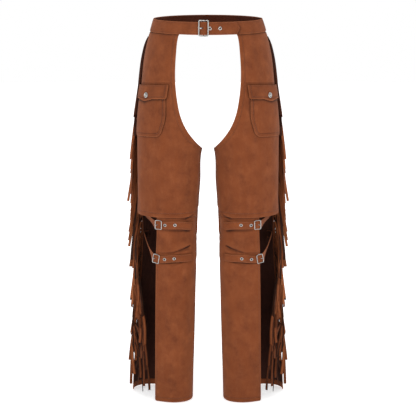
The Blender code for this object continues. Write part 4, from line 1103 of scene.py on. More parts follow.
def lathe(name, profile, steps, materials, dark=()):
    """A shape turned about Z from its profile, as one closed mesh."""
    closed = profile[0][0] > 0 and profile[-1][0] > 0
    points, faces, slots = [], [], []
    rings = []
    for r, z in profile:
        if r <= 0:
            points.append((0.0, 0.0, z))
            rings.append([len(points) - 1] * steps)
        else:
            base = len(points)
            for k in range(steps):
                swing = 2 * math.pi * k / steps
                points.append((r * math.cos(swing), r * math.sin(swing), z))
            rings.append([base + k for k in range(steps)])
    pairs = list(zip(rings, rings[1:] + ([rings[0]] if closed else [])))
    for number, (a, b) in enumerate(pairs):
        for k in range(steps):
            n = (k + 1) % steps
            corners = [a[k], a[n], b[n], b[k]]
            corners = [c for i, c in enumerate(corners) if c not in corners[:i]]
            if len(corners) > 2:
                faces.append(corners)
                slots.append(1 if number in dark else 0)
    mesh = mesh_from(name, points, faces, slots, sharp=38.0)
    return new_object(name, mesh, materials)


def wire(name, points, radius, cyclic=False):
    curve = bpy.data.curves.new(name, "CURVE")
    curve.dimensions = "3D"
    curve.bevel_depth = radius
    curve.bevel_resolution = 4
    curve.use_fill_caps = not cyclic
    spline = curve.splines.new("POLY")
    spline.points.add(len(points) - 1)
    for target, point in zip(spline.points, points):
        target.co = (*point, 1.0)
    spline.use_cyclic_u = cyclic
    curve.materials.append(SILVER)
    return applied(linked(name, curve))


def applied(obj):
    """The object with its modifiers made into its own mesh."""
    depsgraph = bpy.context.evaluated_depsgraph_get()
    depsgraph.update()
    mesh = bpy.data.meshes.new_from_object(obj.evaluated_get(depsgraph))
    mesh.transform(obj.matrix_world)
    name = obj.name
    bpy.data.objects.remove(obj)
    return new_object(name, mesh, ())


def combined(obj, other, operation):
    boolean = obj.modifiers.new("boolean", "BOOLEAN")
    boolean.operation = operation
    boolean.object = other
    result = applied(obj)
    bpy.data.objects.remove(other)
    return result


def bar_heights(size, strap_thick):
    bar = SEAM_GAP + size["bar"]
    ends = FACET_ROOM + strap_thick + 2 * CLEAR + size["wire"]
    return bar, ends


def make_buckle(name, size, bar_z, ends_z, place):
    """A rounded frame, bowed down at its middle to a bar across it."""
    length, width = size["half_length"], size["half_width"]
    dip = ends_z - bar_z - 0.5 * size["bar"]
    outline = []
    for turn in range(4):
        sign_x, sign_y = (1, -1, -1, 1)[turn], (1, 1, -1, -1)[turn]
        for step in np.linspace(0, math.pi / 2, 8):
            swing = step + turn * math.pi / 2
            x = sign_x * (length - BUCKLE_CORNER) + BUCKLE_CORNER * math.cos(swing)
            y = sign_y * (width - BUCKLE_CORNER) + BUCKLE_CORNER * math.sin(swing)
            outline.append((x, y))
        if turn in (0, 2):
            for share in np.linspace(0.6, -0.6, 13):
                outline.append((sign_x * length * share, sign_y * width))
    points = [(x, y, ends_z - dip * math.cos(0.5 * math.pi * x / length) ** 2) for x, y in outline]
    buckle = wire(name, points, size["wire"], cyclic=True)
    bar = wire("bar", [(0, y, bar_z) for y in (-width, -width / 2, width / 2, width)], size["bar"])
    buckle = combined(buckle, bar, "UNION")
    buckle.data.transform(place)
    return buckle


def make_prong(name, size, bar_z, ends_z, place):
    """A flattened, tapered pin from beside the bar to just over the end bar, with a rounded tip."""
    radius = 0.62 * size["wire"]
    start_x = -(size["bar"] + SEAM_GAP + radius)
    top = ends_z + size["wire"] + SEAM_GAP + radius
    bar_x = -size["half_length"]
    knots = np.array([
        (start_x, bar_z), (start_x - 0.0012, bar_z + 0.45 * (top - bar_z)),
        (blend(start_x, bar_x, 0.45), blend(bar_z, top, 0.86)), (blend(start_x, bar_x, 0.75), top + 0.0002),
        (bar_x - 0.0006, top + 0.0001), (bar_x - size["wire"] - 0.0002, top - 0.0007),
    ])
    share = np.linspace(0, 1, len(knots))
    fine = np.linspace(0, 1, 26)
    path = np.stack([np.interp(fine, share, knots[:, k]) for k in (0, 1)], axis=1)
    for _ in range(3):
        path[1:-1] = 0.25 * path[:-2] + 0.5 * path[1:-1] + 0.25 * path[2:]
    points = [(x, 0.0, z) for x, z in path]
    pin = wire(name, points, radius)
    pin.data.transform(place)
    return pin


def make_eyelet(name, thickness, flange, place):
    """A pressed ring with a rolled flange and a barrel."""
    rise = EYELET_RISE
    profile = [
        (EYELET_HOLE, 0.30 * rise), (EYELET_HOLE + 0.0002, 0.72 * rise), (EYELET_HOLE + 0.0008, rise),
        (flange - 0.0013, rise * 0.98), (flange - 0.0005, 0.78 * rise), (flange, 0.42 * rise),
        (flange - 0.0002, 0.0003), (EYELET_BARREL, 0.0003), (EYELET_BARREL, -thickness),
        (EYELET_HOLE + 0.0001, -thickness),
    ]
    ring = lathe(name, profile, 28, (SILVER, SHADOWED), dark=(7, 8, 9))
    ring.data.transform(place)
    return ring


STUD_PROFILE = (  # shares of its radius and of its height
    (0.0, 1.0), (0.18, 0.97), (0.34, 0.88), (0.44, 0.70), (0.50, 0.52), (0.58, 0.50), (0.66, 0.62),
    (0.78, 0.70), (0.90, 0.62), (0.98, 0.40), (1.0, 0.18), (0.97, 0.0), (0.0, 0.0),
)


def make_button(name, radius, height, place):
    """A pressed stud: a rolled rim, a groove and a low crowned middle."""
    profile = [(radius * across, height * up) for across, up in STUD_PROFILE]
    button = lathe(name, profile, 40, (SILVER, SHADOWED), dark=(3, 4))
    button.data.transform(place)
    return button


def punched(strap, place, depth=0.012):
    bpy.ops.mesh.primitive_cylinder_add(vertices=28, radius=EYELET_PUNCH - 0.0002, depth=depth)
    punch = bpy.context.active_object
    punch.data.transform(place)
    return combined(strap, punch, "DIFFERENCE")


def slotted(strap, size, bar_z, place):
    half = 0.62 * size["wire"] + 0.0007
    low = Vector((-0.78 * size["half_length"], -half, bar_z - size["bar"] * 0.9))
    high = Vector((-CLEAR, half, 0.016))
    bpy.ops.mesh.primitive_cube_add(size=1.0)
    box = bpy.context.active_object
    box.data.transform(place @ Matrix.Translation((low + high) / 2) @ Matrix.Diagonal((*(high - low), 1.0)))
    return combined(strap, box, "DIFFERENCE")


# ---------------------------------------------------------------- leg straps
STRAP_REST = SUEDE / 2 + SEAM_GAP + FACET_ROOM + STRAP_THICK / 2
PAST_BUCKLE, TUCKED_END = 72, -9  # rows of a strap: the last in its buckle, and before its fixed end


def strap_height(sizes, share):
    z = blend(sizes["buckle_z"], sizes["middle_z"], ramp(share, 0.0, 0.45))
    z = blend(z, sizes["inner_z"], ramp(share, 0.45, 1.0))
    turn = math.radians(sizes["buckle_angle"]) - math.radians(sizes["inner_angle"])
    run = SLOPE_RUN * turn * FOLD_METRIC
    return z + 0.5 * sizes["slope"] * run * (np.maximum(1 - share / SLOPE_RUN, 0.0) ** 2 - 1.0)


def strap_line(sizes):
    """Points and outward directions from the sewn end, through the buckle, to the outer end."""
    inner_angle, buckle_angle = (math.radians(sizes[end]) for end in ("inner_angle", "buckle_angle"))
    bar_z, _ = bar_heights(LEG_BUCKLE, STRAP_THICK)
    hump = SUEDE / 2 + bar_z + LEG_BUCKLE["bar"] + CLEAR + STRAP_THICK / 2 - STRAP_REST
    half = LEG_BUCKLE["half_length"]
    radius = at(HALF_WIDTH, sizes["buckle_z"])
    length = (buckle_angle - inner_angle) * radius
    distance = np.concatenate([np.linspace(length, 1.5 * half, 40), np.linspace(1.5 * half, -half, 34)[1:]])
    angle = buckle_angle - distance / radius
    z = strap_height(sizes, distance / length)
    lift = STRAP_REST + tucked(z)
    lift = lift + np.where(np.abs(distance) < half, hump * np.cos(0.5 * math.pi * distance / half) ** 2, 0.0)
    points, normals = lay(angle, z, lift), leg_out(angle, z)

    outer_z, anchor_angle = sizes["outer_z"], math.radians(STRAP_ANCHOR)
    inside = -(SUEDE / 2 + 2 * SEAM_GAP + STRAP_THICK / 2)
    leave, anchor = points[-1], lay(anchor_angle, outer_z, inside)
    heading = unit(points[-1] - points[-2])
    arrive = unit(lay(anchor_angle + 0.1, outer_z, inside) - anchor)
    reach = np.linalg.norm(anchor - leave)
    first_pull, last_pull = leave + heading * STRAP_HEADING * reach, anchor - arrive * STRAP_ARRIVAL * reach
    facing, anchor_facing = normals[-1], leg_out(anchor_angle, outer_z)
    free_points, free_normals = [], []
    for share in np.linspace(0.03, 1.0, 34):
        rest = 1 - share
        pulled = leave * rest**3 + first_pull * 3 * rest**2 * share
        free_points.append(pulled + last_pull * 3 * rest * share**2 + anchor * share**3)
        down = np.array([0, 0, -sizes["twist"] * math.sin(math.pi * share ** sizes["early"]) ** 2])
        free_normals.append(unit(blend(facing, anchor_facing, share ** (1 / sizes["early"])) + down))
    for turn in np.linspace(0, STRAP_TUCK, 8)[1:]:
        free_points.append(lay(anchor_angle + turn, outer_z, inside))
        free_normals.append(leg_out(anchor_angle + turn, outer_z))
    return np.concatenate([points, free_points]), np.concatenate([normals, free_normals])


def make_strap(strap):
    sizes = STRAPS[strap]
    buckle_z, buckle_angle = sizes["buckle_z"], math.radians(sizes["buckle_angle"])
    inner_angle = math.radians(sizes["inner_angle"])
    radius = at(HALF_WIDTH, buckle_z)
    points, normals = strap_line(sizes)
    along = unit(np.gradient(points, axis=0))
    width = unit(np.cross(normals, along))
    width *= np.where(width[:, 2:] > 0, 1.0, -1.0)
    out = facing(unit(np.cross(along, width)), normals)
    inset = STRAP_STITCH
    side = np.array([0.0, 0.0012, 0.0020, 0.0026, 0.0032, 0.0044, 0.0070])
    across = np.concatenate([side, [STRAP_WIDTH / 2], STRAP_WIDTH - side[::-1]])
    edge = np.minimum(across, STRAP_WIDTH - across)
    crown = 0.0004 * ramp(edge, 0.002, 0.007) + 0.45 * groove((edge - inset) * 1.8)
    mid = points[:, None] + width[:, None] * (across - STRAP_WIDTH / 2)[None, :, None]
    mid = mid + out[:, None] * crown[None, :, None]
    out_grid = np.repeat(out[:, None], len(across), axis=1)
    steps = run_along(points)
    tone = np.repeat((edge_tone(edge) + 0.8 * painted_groove_shade((edge - inset) * 1.5))[None], len(points), axis=0)
    # Painted shade at the strap's sewn end, and on its outer end where it runs in under the back panel.
    tone = tone - 0.25 * bell(steps, 0.0015)[:, None]
    tone = tone - 0.9 * ramp(steps, steps[TUCKED_END] - 0.030, steps[TUCKED_END])[:, None]
    obj = shell(f"{strap}_strap", mid, out_grid, STRAP_THICK, tone)
    for sign in (-1, 1):
        offset = STRAP_WIDTH / 2 - inset
        line = points + width * sign * offset + out * (STRAP_THICK / 2 - STITCH_SINK)
        before = steps < steps[PAST_BUCKLE] - 2.9 * LEG_BUCKLE["half_length"]
        sew(line[before], out[before])
        away = (steps > steps[PAST_BUCKLE] + 0.002) & (steps < steps[TUCKED_END] - 0.020)
        sew(line[away], out[away])
    across_end = np.linspace(-STRAP_WIDTH / 2 + 0.003, STRAP_WIDTH / 2 - 0.003, 12)
    for end_row in (2, 5):
        line = points[end_row] + width[end_row] * across_end[:, None] + out[end_row] * (STRAP_THICK / 2)
        sew(line, np.repeat(out[end_row][None], 12, axis=0))

    bar_z, ends_z = bar_heights(LEG_BUCKLE, STRAP_THICK)
    place = surface_frame(buckle_angle, buckle_z, SUEDE / 2 + float(tucked(buckle_z)))
    place = place @ Matrix.Rotation(-math.atan(sizes["slope"]), 4, "Z")
    obj = slotted(obj, LEG_BUCKLE, bar_z, place)
    made = {}
    for i, distance in enumerate(sizes["eyelets"], start=1):
        angle = buckle_angle - distance / radius
        z = strap_height(sizes, distance / ((buckle_angle - inner_angle) * radius))
        eyelet = surface_frame(angle, z, STRAP_REST + float(tucked(z)))
        obj = punched(obj, eyelet)
        face = eyelet @ Matrix.Translation((0, 0, STRAP_THICK / 2 + 0.0003))
        made[f"{strap}_eyelet_{i}"] = make_eyelet(f"{strap}_eyelet_{i}", STRAP_THICK, LEG_EYELET_FLANGE, face)
    made[f"{strap}_strap"] = obj
    made[f"{strap}_buckle"] = make_buckle(f"{strap}_buckle", LEG_BUCKLE, bar_z, ends_z, place)
    made[f"{strap}_prong"] = make_prong(f"{strap}_prong", LEG_BUCKLE, bar_z, ends_z, place)
    return made


def make_knee_rivets():
    angle = math.radians(STRAP_ANCHOR) + RIVET_TURN
    lift = -(SUEDE / 2 + STRAP_THICK + 4 * SEAM_GAP)
    inward = Matrix.Rotation(math.pi, 4, "Y")
    made = {}
    for i, side in enumerate((0.5, -0.5), start=1):
        z = STRAPS["knee"]["outer_z"] + side * RIVET_SPACING
        place = surface_frame(angle, z, lift) @ inward
        made[f"knee_rivet_{i}"] = make_button(f"knee_rivet_{i}", RIVET_RADIUS, RIVET_HEIGHT, place)
    return made


# ---------------------------------------------------------------- waistband and belt
def waist_point(angle, level, offset):
    half_x = blend(*WAIST_HALF_X, level)
    half_x = blend(WAIST_RADIUS, half_x, ramp(abs(math.sin(angle)), 0.3, 0.9))
    half_y = blend(*WAIST_HALF_Y, level)
    x, y = half_x * math.sin(angle), -half_y * math.cos(angle)
    outward = Vector((math.sin(angle) / half_x, -math.cos(angle) / half_y, 0)).normalized()
    z = WAIST_LIFT + WAIST_HEIGHT * (level - 0.5) + WAIST_TILT * y
    return Vector((x, y, z)) + outward * offset


def belt_heights():
    fold = BELT_BUCKLE["bar"] + SEAM_GAP + WAIST_THICK / 2
    bar = fold + 0.0003
    chape = WAIST_THICK + CLEAR
    tongue = chape + WAIST_THICK + CLEAR
    ends = tongue + WAIST_THICK / 2 + EYELET_RISE + CLEAR + BELT_BUCKLE["wire"]
    return bar, fold, chape, tongue, ends


def tongue_offset(distance):
    return blend(belt_heights()[3], WAIST_THICK + CLEAR, ramp(distance, *TONGUE_SETTLES))


BAND_ROWS = 160


def belt_path():
    """Angle, offset and share of the tip's point along the belt, from its fold to its tip."""
    bar, fold, chape, tongue, _ = belt_heights()
    start = BELT_X / WAIST_RADIUS
    half = BELT_BUCKLE["half_length"]
    path = []
    for distance in np.linspace(BELT_FOLD_END, 0.001, 12):
        path.append((start + distance / WAIST_RADIUS, bar - fold, 0.0))
    for turn in np.linspace(-78, 78, 15):
        swing = math.radians(turn)
        distance = -fold * math.cos(swing)
        path.append((start + distance / WAIST_RADIUS, bar + fold * math.sin(swing), 0.0))
    for distance in list(np.linspace(0.001, half, 8)) + list(np.linspace(0.014, 0.066, 18)):
        offset = blend(chape, bar + fold, math.cos(0.5 * math.pi * min(distance / half, 1.0)) ** 2)
        offset *= 1 - ramp(distance, *CHAPE_ENDS)
        path.append((start + distance / WAIST_RADIUS, offset, 0.0))
    first = start + 0.070 / WAIST_RADIUS
    last = start + 2 * math.pi + TONGUE_START / WAIST_RADIUS
    near_tip = [start + distance / WAIST_RADIUS for distance in (0.084, 0.106)]
    band = np.concatenate([
        np.linspace(first, near_tip[0], 5)[:-1], np.linspace(*near_tip, 26),
        np.linspace(near_tip[1], last, BAND_ROWS - 29)[1:],
    ])
    for angle in band:
        path.append((angle, 0.0, 0.0))
    over_bar = bar + fold + WAIST_THICK + CLEAR
    runs = (np.linspace(-0.072, -0.0150, 20), np.linspace(-half, half, 21), np.linspace(0.0145, 0.034, 8))
    for distance in np.concatenate(runs):
        offset = tongue * ramp(distance, TONGUE_START, -half)
        if abs(distance) < half:
            offset += (over_bar - tongue) * math.cos(0.5 * math.pi * distance / half) ** 2
        path.append((start + 2 * math.pi + distance / WAIST_RADIUS, offset, 0.0))
    for distance in [*np.linspace(0.036, TONGUE_END - 0.004, 20), TONGUE_END - 0.0015, TONGUE_END]:
        angle = start + 2 * math.pi + distance / WAIST_RADIUS
        path.append((angle, tongue_offset(distance), ramp(distance, 0.060, TONGUE_END)))
    return path


def waist_frame(distance, offset):
    angle = (BELT_X + distance) / WAIST_RADIUS
    origin = waist_point(angle, 0.5, offset)
    side = (waist_point(angle + 0.01, 0.5, offset) - waist_point(angle - 0.01, 0.5, offset)).normalized()
    up = waist_point(angle, 1.0, offset) - waist_point(angle, 0.0, offset)
    normal = side.cross(up).normalized()
    return placed(side, normal.cross(side), normal, origin)


def tip_shade(path, levels):
    """Painted shadow on the band beside the tongue's tip, most under its lower half, and in the eyelets'
    holes.
    """
    distance = np.array([(angle - BELT_X / WAIST_RADIUS) * WAIST_RADIUS for angle, _, _ in path])[:, None]
    level = np.asarray(levels)[None]
    beyond = distance - (TONGUE_END - TONGUE_POINT * np.abs(2 * level - 1) ** 1.2)
    reach = 0.0014 + 0.0034 * ramp(level, 0.75, 0.0)
    shade = -0.95 * fading(beyond, reach) * (0.55 + 0.45 * ramp(level, 0.8, 0.4))
    shade = np.where((beyond > -0.003) & (distance < 0.3), shade, 0.0)
    for eyelet in BELT_EYELETS:
        spot = np.hypot(distance - eyelet, (level - 0.5) * WAIST_HEIGHT)
        shade = shade + eyelet_shade(spot)
    return shade


def make_waistband():
    inset = BELT_STITCH
    side = np.array([0.0, 0.0014, 0.0024, 0.0030, 0.0036, 0.0050, 0.0090])
    height = np.concatenate([side, [WAIST_HEIGHT / 2], WAIST_HEIGHT - side[::-1]])
    levels = height / WAIST_HEIGHT
    edge = np.minimum(height, WAIST_HEIGHT - height)
    crown = 0.0005 * ramp(edge, 0.002, 0.010) + 0.5 * groove((edge - inset) * 1.6)
    path = belt_path()
    mid = []
    for angle, offset, point_share in path:
        row = []
        waver = 0.00035 * math.sin(11 * angle + 1.3) + 0.00025 * math.sin(23 * angle)
        for level, bulge in zip(levels, crown):
            back = TONGUE_POINT * abs(2 * level - 1) ** 1.2 * point_share / WAIST_RADIUS
            row.append(waist_point(angle - back, level, offset + bulge + waver * (2 * level - 1)))
        mid.append(row)
    mid = np.array(mid)
    along = np.gradient(mid, axis=0)
    upward = np.gradient(mid, axis=1)
    out = unit(np.cross(along, upward))
    tone = np.repeat((edge_tone(edge) + 0.9 * painted_groove_shade((edge - inset) * 1.3))[None], len(path), axis=0)
    # A slight painted shade over the whole band, besides the painted shadow by the tongue's tip.
    band = shell("waistband", mid, out, WAIST_THICK, tone + tip_shade(path, levels) - 0.05)
    in_buckle = np.zeros(len(path), bool)
    for k, (angle, offset, _) in enumerate(path):
        turn = (angle - BELT_X / WAIST_RADIUS) % (2 * math.pi)
        turn = min(turn, 2 * math.pi - turn) * WAIST_RADIUS
        in_buckle[k] = turn < BELT_BUCKLE["half_length"] + 0.0035
    before_buckle = 53 + BAND_ROWS + 20  # the path's row where the tongue meets the buckle
    runs = [(45, before_buckle), (before_buckle + 22, len(path) - 1)]
    on_face = WAIST_THICK / 2 + 0.0001
    for column in (3, len(levels) - 4):
        for first, last in runs:
            rows = [k for k in range(first, last) if not in_buckle[k]]
            sew(mid[rows, column] + out[rows, column] * on_face, out[rows, column])
    tip = len(path) - 3
    line = mid[tip, 3:-3] + out[tip, 3:-3] * on_face
    sew(line, out[tip, 3:-3])

    bar, _, _, _, ends = belt_heights()
    place = waist_frame(0.0, 0.0)
    band = slotted(band, BELT_BUCKLE, bar, place)
    made = {}
    for i, distance in enumerate(BELT_EYELETS, start=1):
        eyelet = waist_frame(distance, tongue_offset(distance))
        low = -WAIST_THICK / 2 - 0.5 * CLEAR
        band = punched(band, eyelet @ Matrix.Translation((0, 0, low + 0.005)), depth=0.010)
        face = eyelet @ Matrix.Translation((0, 0, WAIST_THICK / 2 + 0.0004))
        made[f"belt_eyelet_{i}"] = make_eyelet(f"belt_eyelet_{i}", WAIST_THICK, EYELET_FLANGE, face)
    # The band's inner side takes the face suede in painted shade.
    band.data.materials[1] = SUEDE_IN_PAINTED_SHADE
    made["waistband"] = band
    made["belt_buckle"] = make_buckle("belt_buckle", BELT_BUCKLE, bar, ends, place)
    made["belt_prong"] = make_prong("belt_prong", BELT_BUCKLE, bar, ends, place)
    return made


# ---------------------------------------------------------------- fringe
def fringe_point(angle, z, lift, root_z):
    """A point over the leg where the strands hang; below the knee they fall in towards the slit."""
    edge, free = at(OUTSEAM_ANGLE, z), at(FREE_ANGLE, np.minimum(z, KNEE_TUCK_Z))
    point, normal = leg_base(angle, z), leg_out(angle, z)
    fall_in = FALL_IN * ramp(z, *FALL_IN_Z) * ramp(root_z, *FALL_IN_ROOTS_Z)
    fall_in = fall_in * ramp(edge - angle, *FALL_IN_TURN)
    back, front = leg_base(edge, z), leg_base(free, z)
    straight = blend(back, front, ((edge - angle) / (edge - free))[..., None])
    chord = unit(front - back)
    facing = np.stack([chord[..., 1], -chord[..., 0], 0 * z], axis=-1)
    facing = np.where(facing[..., :1] > 0, -facing, facing)
    point = blend(point, straight, fall_in[..., None])
    normal = unit(blend(normal, facing, fall_in[..., None]))
    return point + normal * np.asarray(lift)[..., None], normal


def interpolated(table, column, z):
    return float(np.interp(z, table[::-1, 0], table[::-1, column]))


def make_strip(lift):
    """The narrow strip along the outseam that the strands are cut in, with two lines of sewing."""
    across = np.array([
        0.0010, 0.0028, 0.0050, 0.0066, 0.0074, 0.0085, 0.0096, 0.0104, 0.0120, 0.0142, 0.0160,
    ])
    z = np.repeat(np.linspace(FRINGE_TOP_Z, FRINGE_BOTTOM_Z, 200)[:, None], len(across), axis=1)
    angle = at(OUTSEAM_ANGLE, z) + across[None] / at(HALF_WIDTH, z)
    edge = np.minimum(across - across[0], across[-1] - across)
    sewn = edge - STRIP_STITCH
    # Painted shadow where the strands hang over the strip, and painted shade in its sewn grooves.
    tone = edge_shade(angle, z) + (edge_tone(edge) + 0.8 * painted_groove_shade(sewn * 1.4))[None]
    middle = lay(angle, z, lift + STRIP_THICK / 2 + 0.5 * groove(sewn * 1.5)[None])
    strip = shell("fringe", middle, leg_out(angle, z), STRIP_THICK, tone)
    for column in (3, 7):
        fine_z = np.linspace(FRINGE_TOP_Z - 0.004, FRINGE_BOTTOM_Z + 0.004, 600)
        fine_angle = at(OUTSEAM_ANGLE, fine_z) + across[column] / at(HALF_WIDTH, fine_z)
        sew_on_leg(fine_angle, fine_z, lift + STRIP_THICK - STITCH_SINK)
    return strip


def strand_run(k, root_z, strip_face, chance):
    """Middle line of a strand, and the directions away from the leg along it."""
    t = STRAND_SHARES
    spread_share = (k * SPREAD_STEP + chance.uniform(-0.18, 0.18)) % 1.0
    tips = FRONT_TIPS if k % 2 == 0 else REAR_TIPS
    tip = blend(interpolated(tips, 1, root_z), interpolated(tips, 2, root_z), spread_share)
    low = float(ramp(root_z, -0.380, -0.520))
    rise = chance.uniform(0.88, 1.08) + low * blend(-0.75, 0.35, spread_share)
    rise = interpolated(STRAND_RISE, 1, root_z) * rise
    bulge = interpolated(STRAND_BULGE, 1, root_z) * chance.uniform(0.35, 1.15)
    shortest = 0.93 - 0.18 * low * (root_z > FRINGE_BOTTOM_Z + 0.06)
    longest = 1.03 + 0.04 * (root_z < FRINGE_BOTTOM_Z + 0.03)
    length = STRAND_LENGTH * chance.uniform(shortest, longest)
    drop = STRAND_START + t * (length - STRAND_START)
    start = STRAND_ROOTS[k % 2]
    sway = chance.uniform(-0.0022, 0.0022) * np.sin(
        2 * math.pi * (t * chance.uniform(0.7, 1.5) + chance.random())
    )
    early = ramp(root_z, -0.300, -0.520)
    share = blend(t * (0.55 + 0.45 * t), 1 - (1 - t) ** chance.uniform(1.0, 2.4), early)
    settled = np.sin(math.pi * np.minimum(t * 1.2, 1.0) / 2)
    aside = blend(start, tip, share) + (1 + 2.0 * early) * sway * settled
    z = root_z - drop
    follow = FOLLOW_EDGE * ramp(root_z, *FALL_IN_ROOTS_Z)
    line_angle = blend(at(OUTSEAM_ANGLE, root_z), at(OUTSEAM_ANGLE, z), follow)
    angle = line_angle + aside / at(HALF_WIDTH, z)
    curl = chance.choice((-0.003, 0.0, 0.0, 0.003, 0.005)) * t**3
    lift = strip_face - 0.0004 + STRAND_LIFT * np.minimum(t * 8, 1.0)
    lift = lift + rise * drop + bulge * (1 - np.exp(-drop / 0.014)) * (1 - 0.5 * t) + curl
    return fringe_point(angle, z, lift, np.full_like(z, root_z))


def strand_axes(spine, normal, root_z, turned, chance):
    """Directions of a strand's width and thickness along it, as it turns about its length."""
    t = STRAND_SHARES
    along = unit(np.gradient(spine, axis=0))
    sideways = unit(np.cross(normal, along))
    outward = facing(unit(np.cross(along, sideways)), normal)
    turn = interpolated(STRAND_TURN, 1, root_z)
    turn = chance.gauss(turn if turned else max(turn, REAR_TURN), STRAND_TURN_SPREAD)
    soon = interpolated(STRAND_TURN, 2, root_z)
    twist = math.radians(turn) * np.minimum(t * soon, 1.0) ** 1.2 + math.radians(chance.gauss(0.0, 12.0))
    twist = twist + math.radians(chance.gauss(0.0, 22.0)) * np.sin(2 * math.pi * t * chance.uniform(0.6, 1.2))
    cosine, sine = np.cos(twist)[:, None], np.sin(twist)[:, None]
    return sideways * cosine + outward * sine, outward * cosine - sideways * sine


def strand_ring(half_w):
    """A strand's section: a flat bar with small bevels."""
    half_t, bevel = 0.5 * STRAND_THICK, STRAND_BEVEL
    return [
        (-half_w, half_t - bevel), (-half_w + bevel, half_t), (0.0, half_t), (half_w - bevel, half_t),
        (half_w, half_t - bevel), (half_w, -half_t + bevel), (half_w - bevel, -half_t), (0.0, -half_t),
        (-half_w + bevel, -half_t), (-half_w, -half_t + bevel),
    ]


def strand_shades(root_z):
    if root_z < LOW_ROOTS_Z:
        return LOW_SHADES
    return KNEE_SHADES if root_z < KNEE_ROOTS_Z else FRONT_SHADES


def make_fringe():
    """A strip along the outseam with strands cut in it, each with its own curl, twist, length and painted
    light and shade.
    """
    strip_lift = SUEDE / 2 + SEAM_GAP + FACET_ROOM
    strip_face = strip_lift + STRIP_THICK
    strip = make_strip(strip_lift)
    levels = np.linspace(FRINGE_TOP_Z, FRINGE_BOTTOM_Z, STRANDS + 1)
    t = STRAND_SHARES
    points, faces, slots, tones = [], [], [], []
    for k in range(STRANDS):
        pitch = levels[0] - levels[1]
        root_z = levels[k] - pitch / 2
        chance = random.Random(1000 + k)
        spine, normal = strand_run(k, root_z, strip_face, chance)
        turned = k % 2 == 0 or (k % 4 == 1 and root_z < TURNED_ROOTS_Z)
        # At the knee the reverse of the others is as brown as their face.
        brushed = not turned and LOW_ROOTS_Z < root_z < TURNED_ROOTS_Z
        width_way, thick_way = strand_axes(spine, normal, root_z, turned, chance)
        half_w = 0.5 * STRAND_WIDTH * chance.uniform(0.86, 1.08)
        cup = 0.0005 * chance.uniform(-1, 1) * t
        ring = strand_ring(half_w)
        # Painted shade along each strand's edges, and a painted highlight down its middle.
        rim = blend(-0.35, -0.72, float(ramp(root_z, -0.280, -0.360)))
        # The strand's painted light and shade, from the list for its root; those at the top get more painted
        # shade.
        shade = chance.choice(strand_shades(root_z) if turned or brushed else REAR_SHADES)
        shade -= 0.20 * ramp(root_z, -0.180, -0.090)
        # Painted shade where the strands above cover it, fading along it.
        covered = blend(0.40, 0.10, ramp(root_z, -0.240, -0.340))
        covered = covered * (1 - ramp(t, 0.12, 0.12 + chance.uniform(0.25, 0.55)))
        base, size = len(points), len(ring)
        for step in range(STRAND_SECTIONS):
            for w, h in ring:
                lift_mid = cup[step] if w == 0.0 else 0.0
                points.append(spine[step] + width_way[step] * w + thick_way[step] * (h + lift_mid))
                tones.append(shade + (rim if abs(w) > half_w - 0.0005 else 0.10) - covered[step])
        for step in range(STRAND_SECTIONS - 1):
            for number in range(size):
                after = (number + 1) % size
                a, b = base + step * size, base + (step + 1) * size
                faces.append((a + number, a + after, b + after, b + number))
                slots.append(1 if number in (6, 7) and not brushed else 0)
        faces.append([base + number for number in range(size)])
        faces.append([base + (STRAND_SECTIONS - 1) * size + number for number in reversed(range(size))])
        slots += [0, 0]
    mesh = mesh_from("strands", points, faces, slots, tones, sharp=60.0)
    strands = new_object("strands", mesh, (FACE, BACKING))
    with bpy.context.temp_override(active_object=strip, selected_editable_objects=[strip, strands]):
        bpy.ops.object.join()
    return strip


def dress(obj, node, slot, sides):
    """Rides a piece, and says which CAD node it stands for."""
    obj.name = obj.data.name = f"{node}_{'suede' if slot == 'brown_suede' else 'metal'}"
    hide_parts(node)
    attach(obj, "root")
    sides[node] = obj


def dress_legs(made):
    dressed = {}
    for node, obj in made.items():
        slot = "brown_suede" if obj.data.materials[0] == FACE else "polished_steel"
        mirrored = obj.data.copy()
        mirror(mirrored)
        left = linked(f"{node}_l", mirrored)
        dress(obj, f"{node}_r", slot, dressed)
        dress(left, f"{node}_l", slot, dressed)
    return dressed


def dress_sewing(name, mesh):
    obj = new_object(name, mesh, (THREAD,))
    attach(obj, "root")


def mirror(mesh):
    mesh.transform(Matrix.Scale(-1, 4, (1, 0, 0)))
    mesh.flip_normals()


def declare_cloth(dressed):
    for node, obj in dressed.items():
        if not obj.name.endswith("_suede"):
            continue
        if node == "waistband":
            continue


# ---------------------------------------------------------------- camera, floor and light
CAMERA_TARGET = (0.0, 0.0, -0.487)
CAMERA_ELEVATION = math.radians(10.0)
CAMERA_DISTANCE = 3.0
SENSOR_WIDTH, LENS = 36.0, 96.15  # mm
WHITE = (1.0, 1.0, 1.0, 1.0)
FLOOR_RADIUS = 14.0
LIGHTS = (  # name, place, target, size, watts
    ("left_bank", (-2.0, -1.7, -0.4), (0.0, 0.0, -0.6), (0.9, 1.8), 18.0),
    ("right_bank", (2.0, -1.7, -0.4), (0.0, 0.0, -0.6), (0.9, 1.8), 18.0),
    ("key", (0.0, -1.9, 1.9), (0.0, 0.0, -0.5), (1.5, 0.8), 11.0),
    ("fill", (0.0, -2.6, -1.0), (0.0, 0.0, -0.8), (1.2, 0.5), 6.0),
    ("overhead", (0.0, 0.3, 2.6), (0.0, 0.3, -1.0), (3.0, 3.0), 60.0),
)


def aim(obj, target):
    obj.rotation_euler = (Vector(target) - obj.location).to_track_quat("-Z", "Y").to_euler()


def make_camera():
    data = bpy.data.cameras.new("camera")
    data.sensor_width = SENSOR_WIDTH
    data.lens = LENS
    camera = linked("camera", data)
    toward = Vector((0.0, -math.cos(CAMERA_ELEVATION), math.sin(CAMERA_ELEVATION)))
    camera.location = Vector(CAMERA_TARGET) + toward * CAMERA_DISTANCE
    aim(camera, CAMERA_TARGET)
    bpy.context.scene.camera = camera


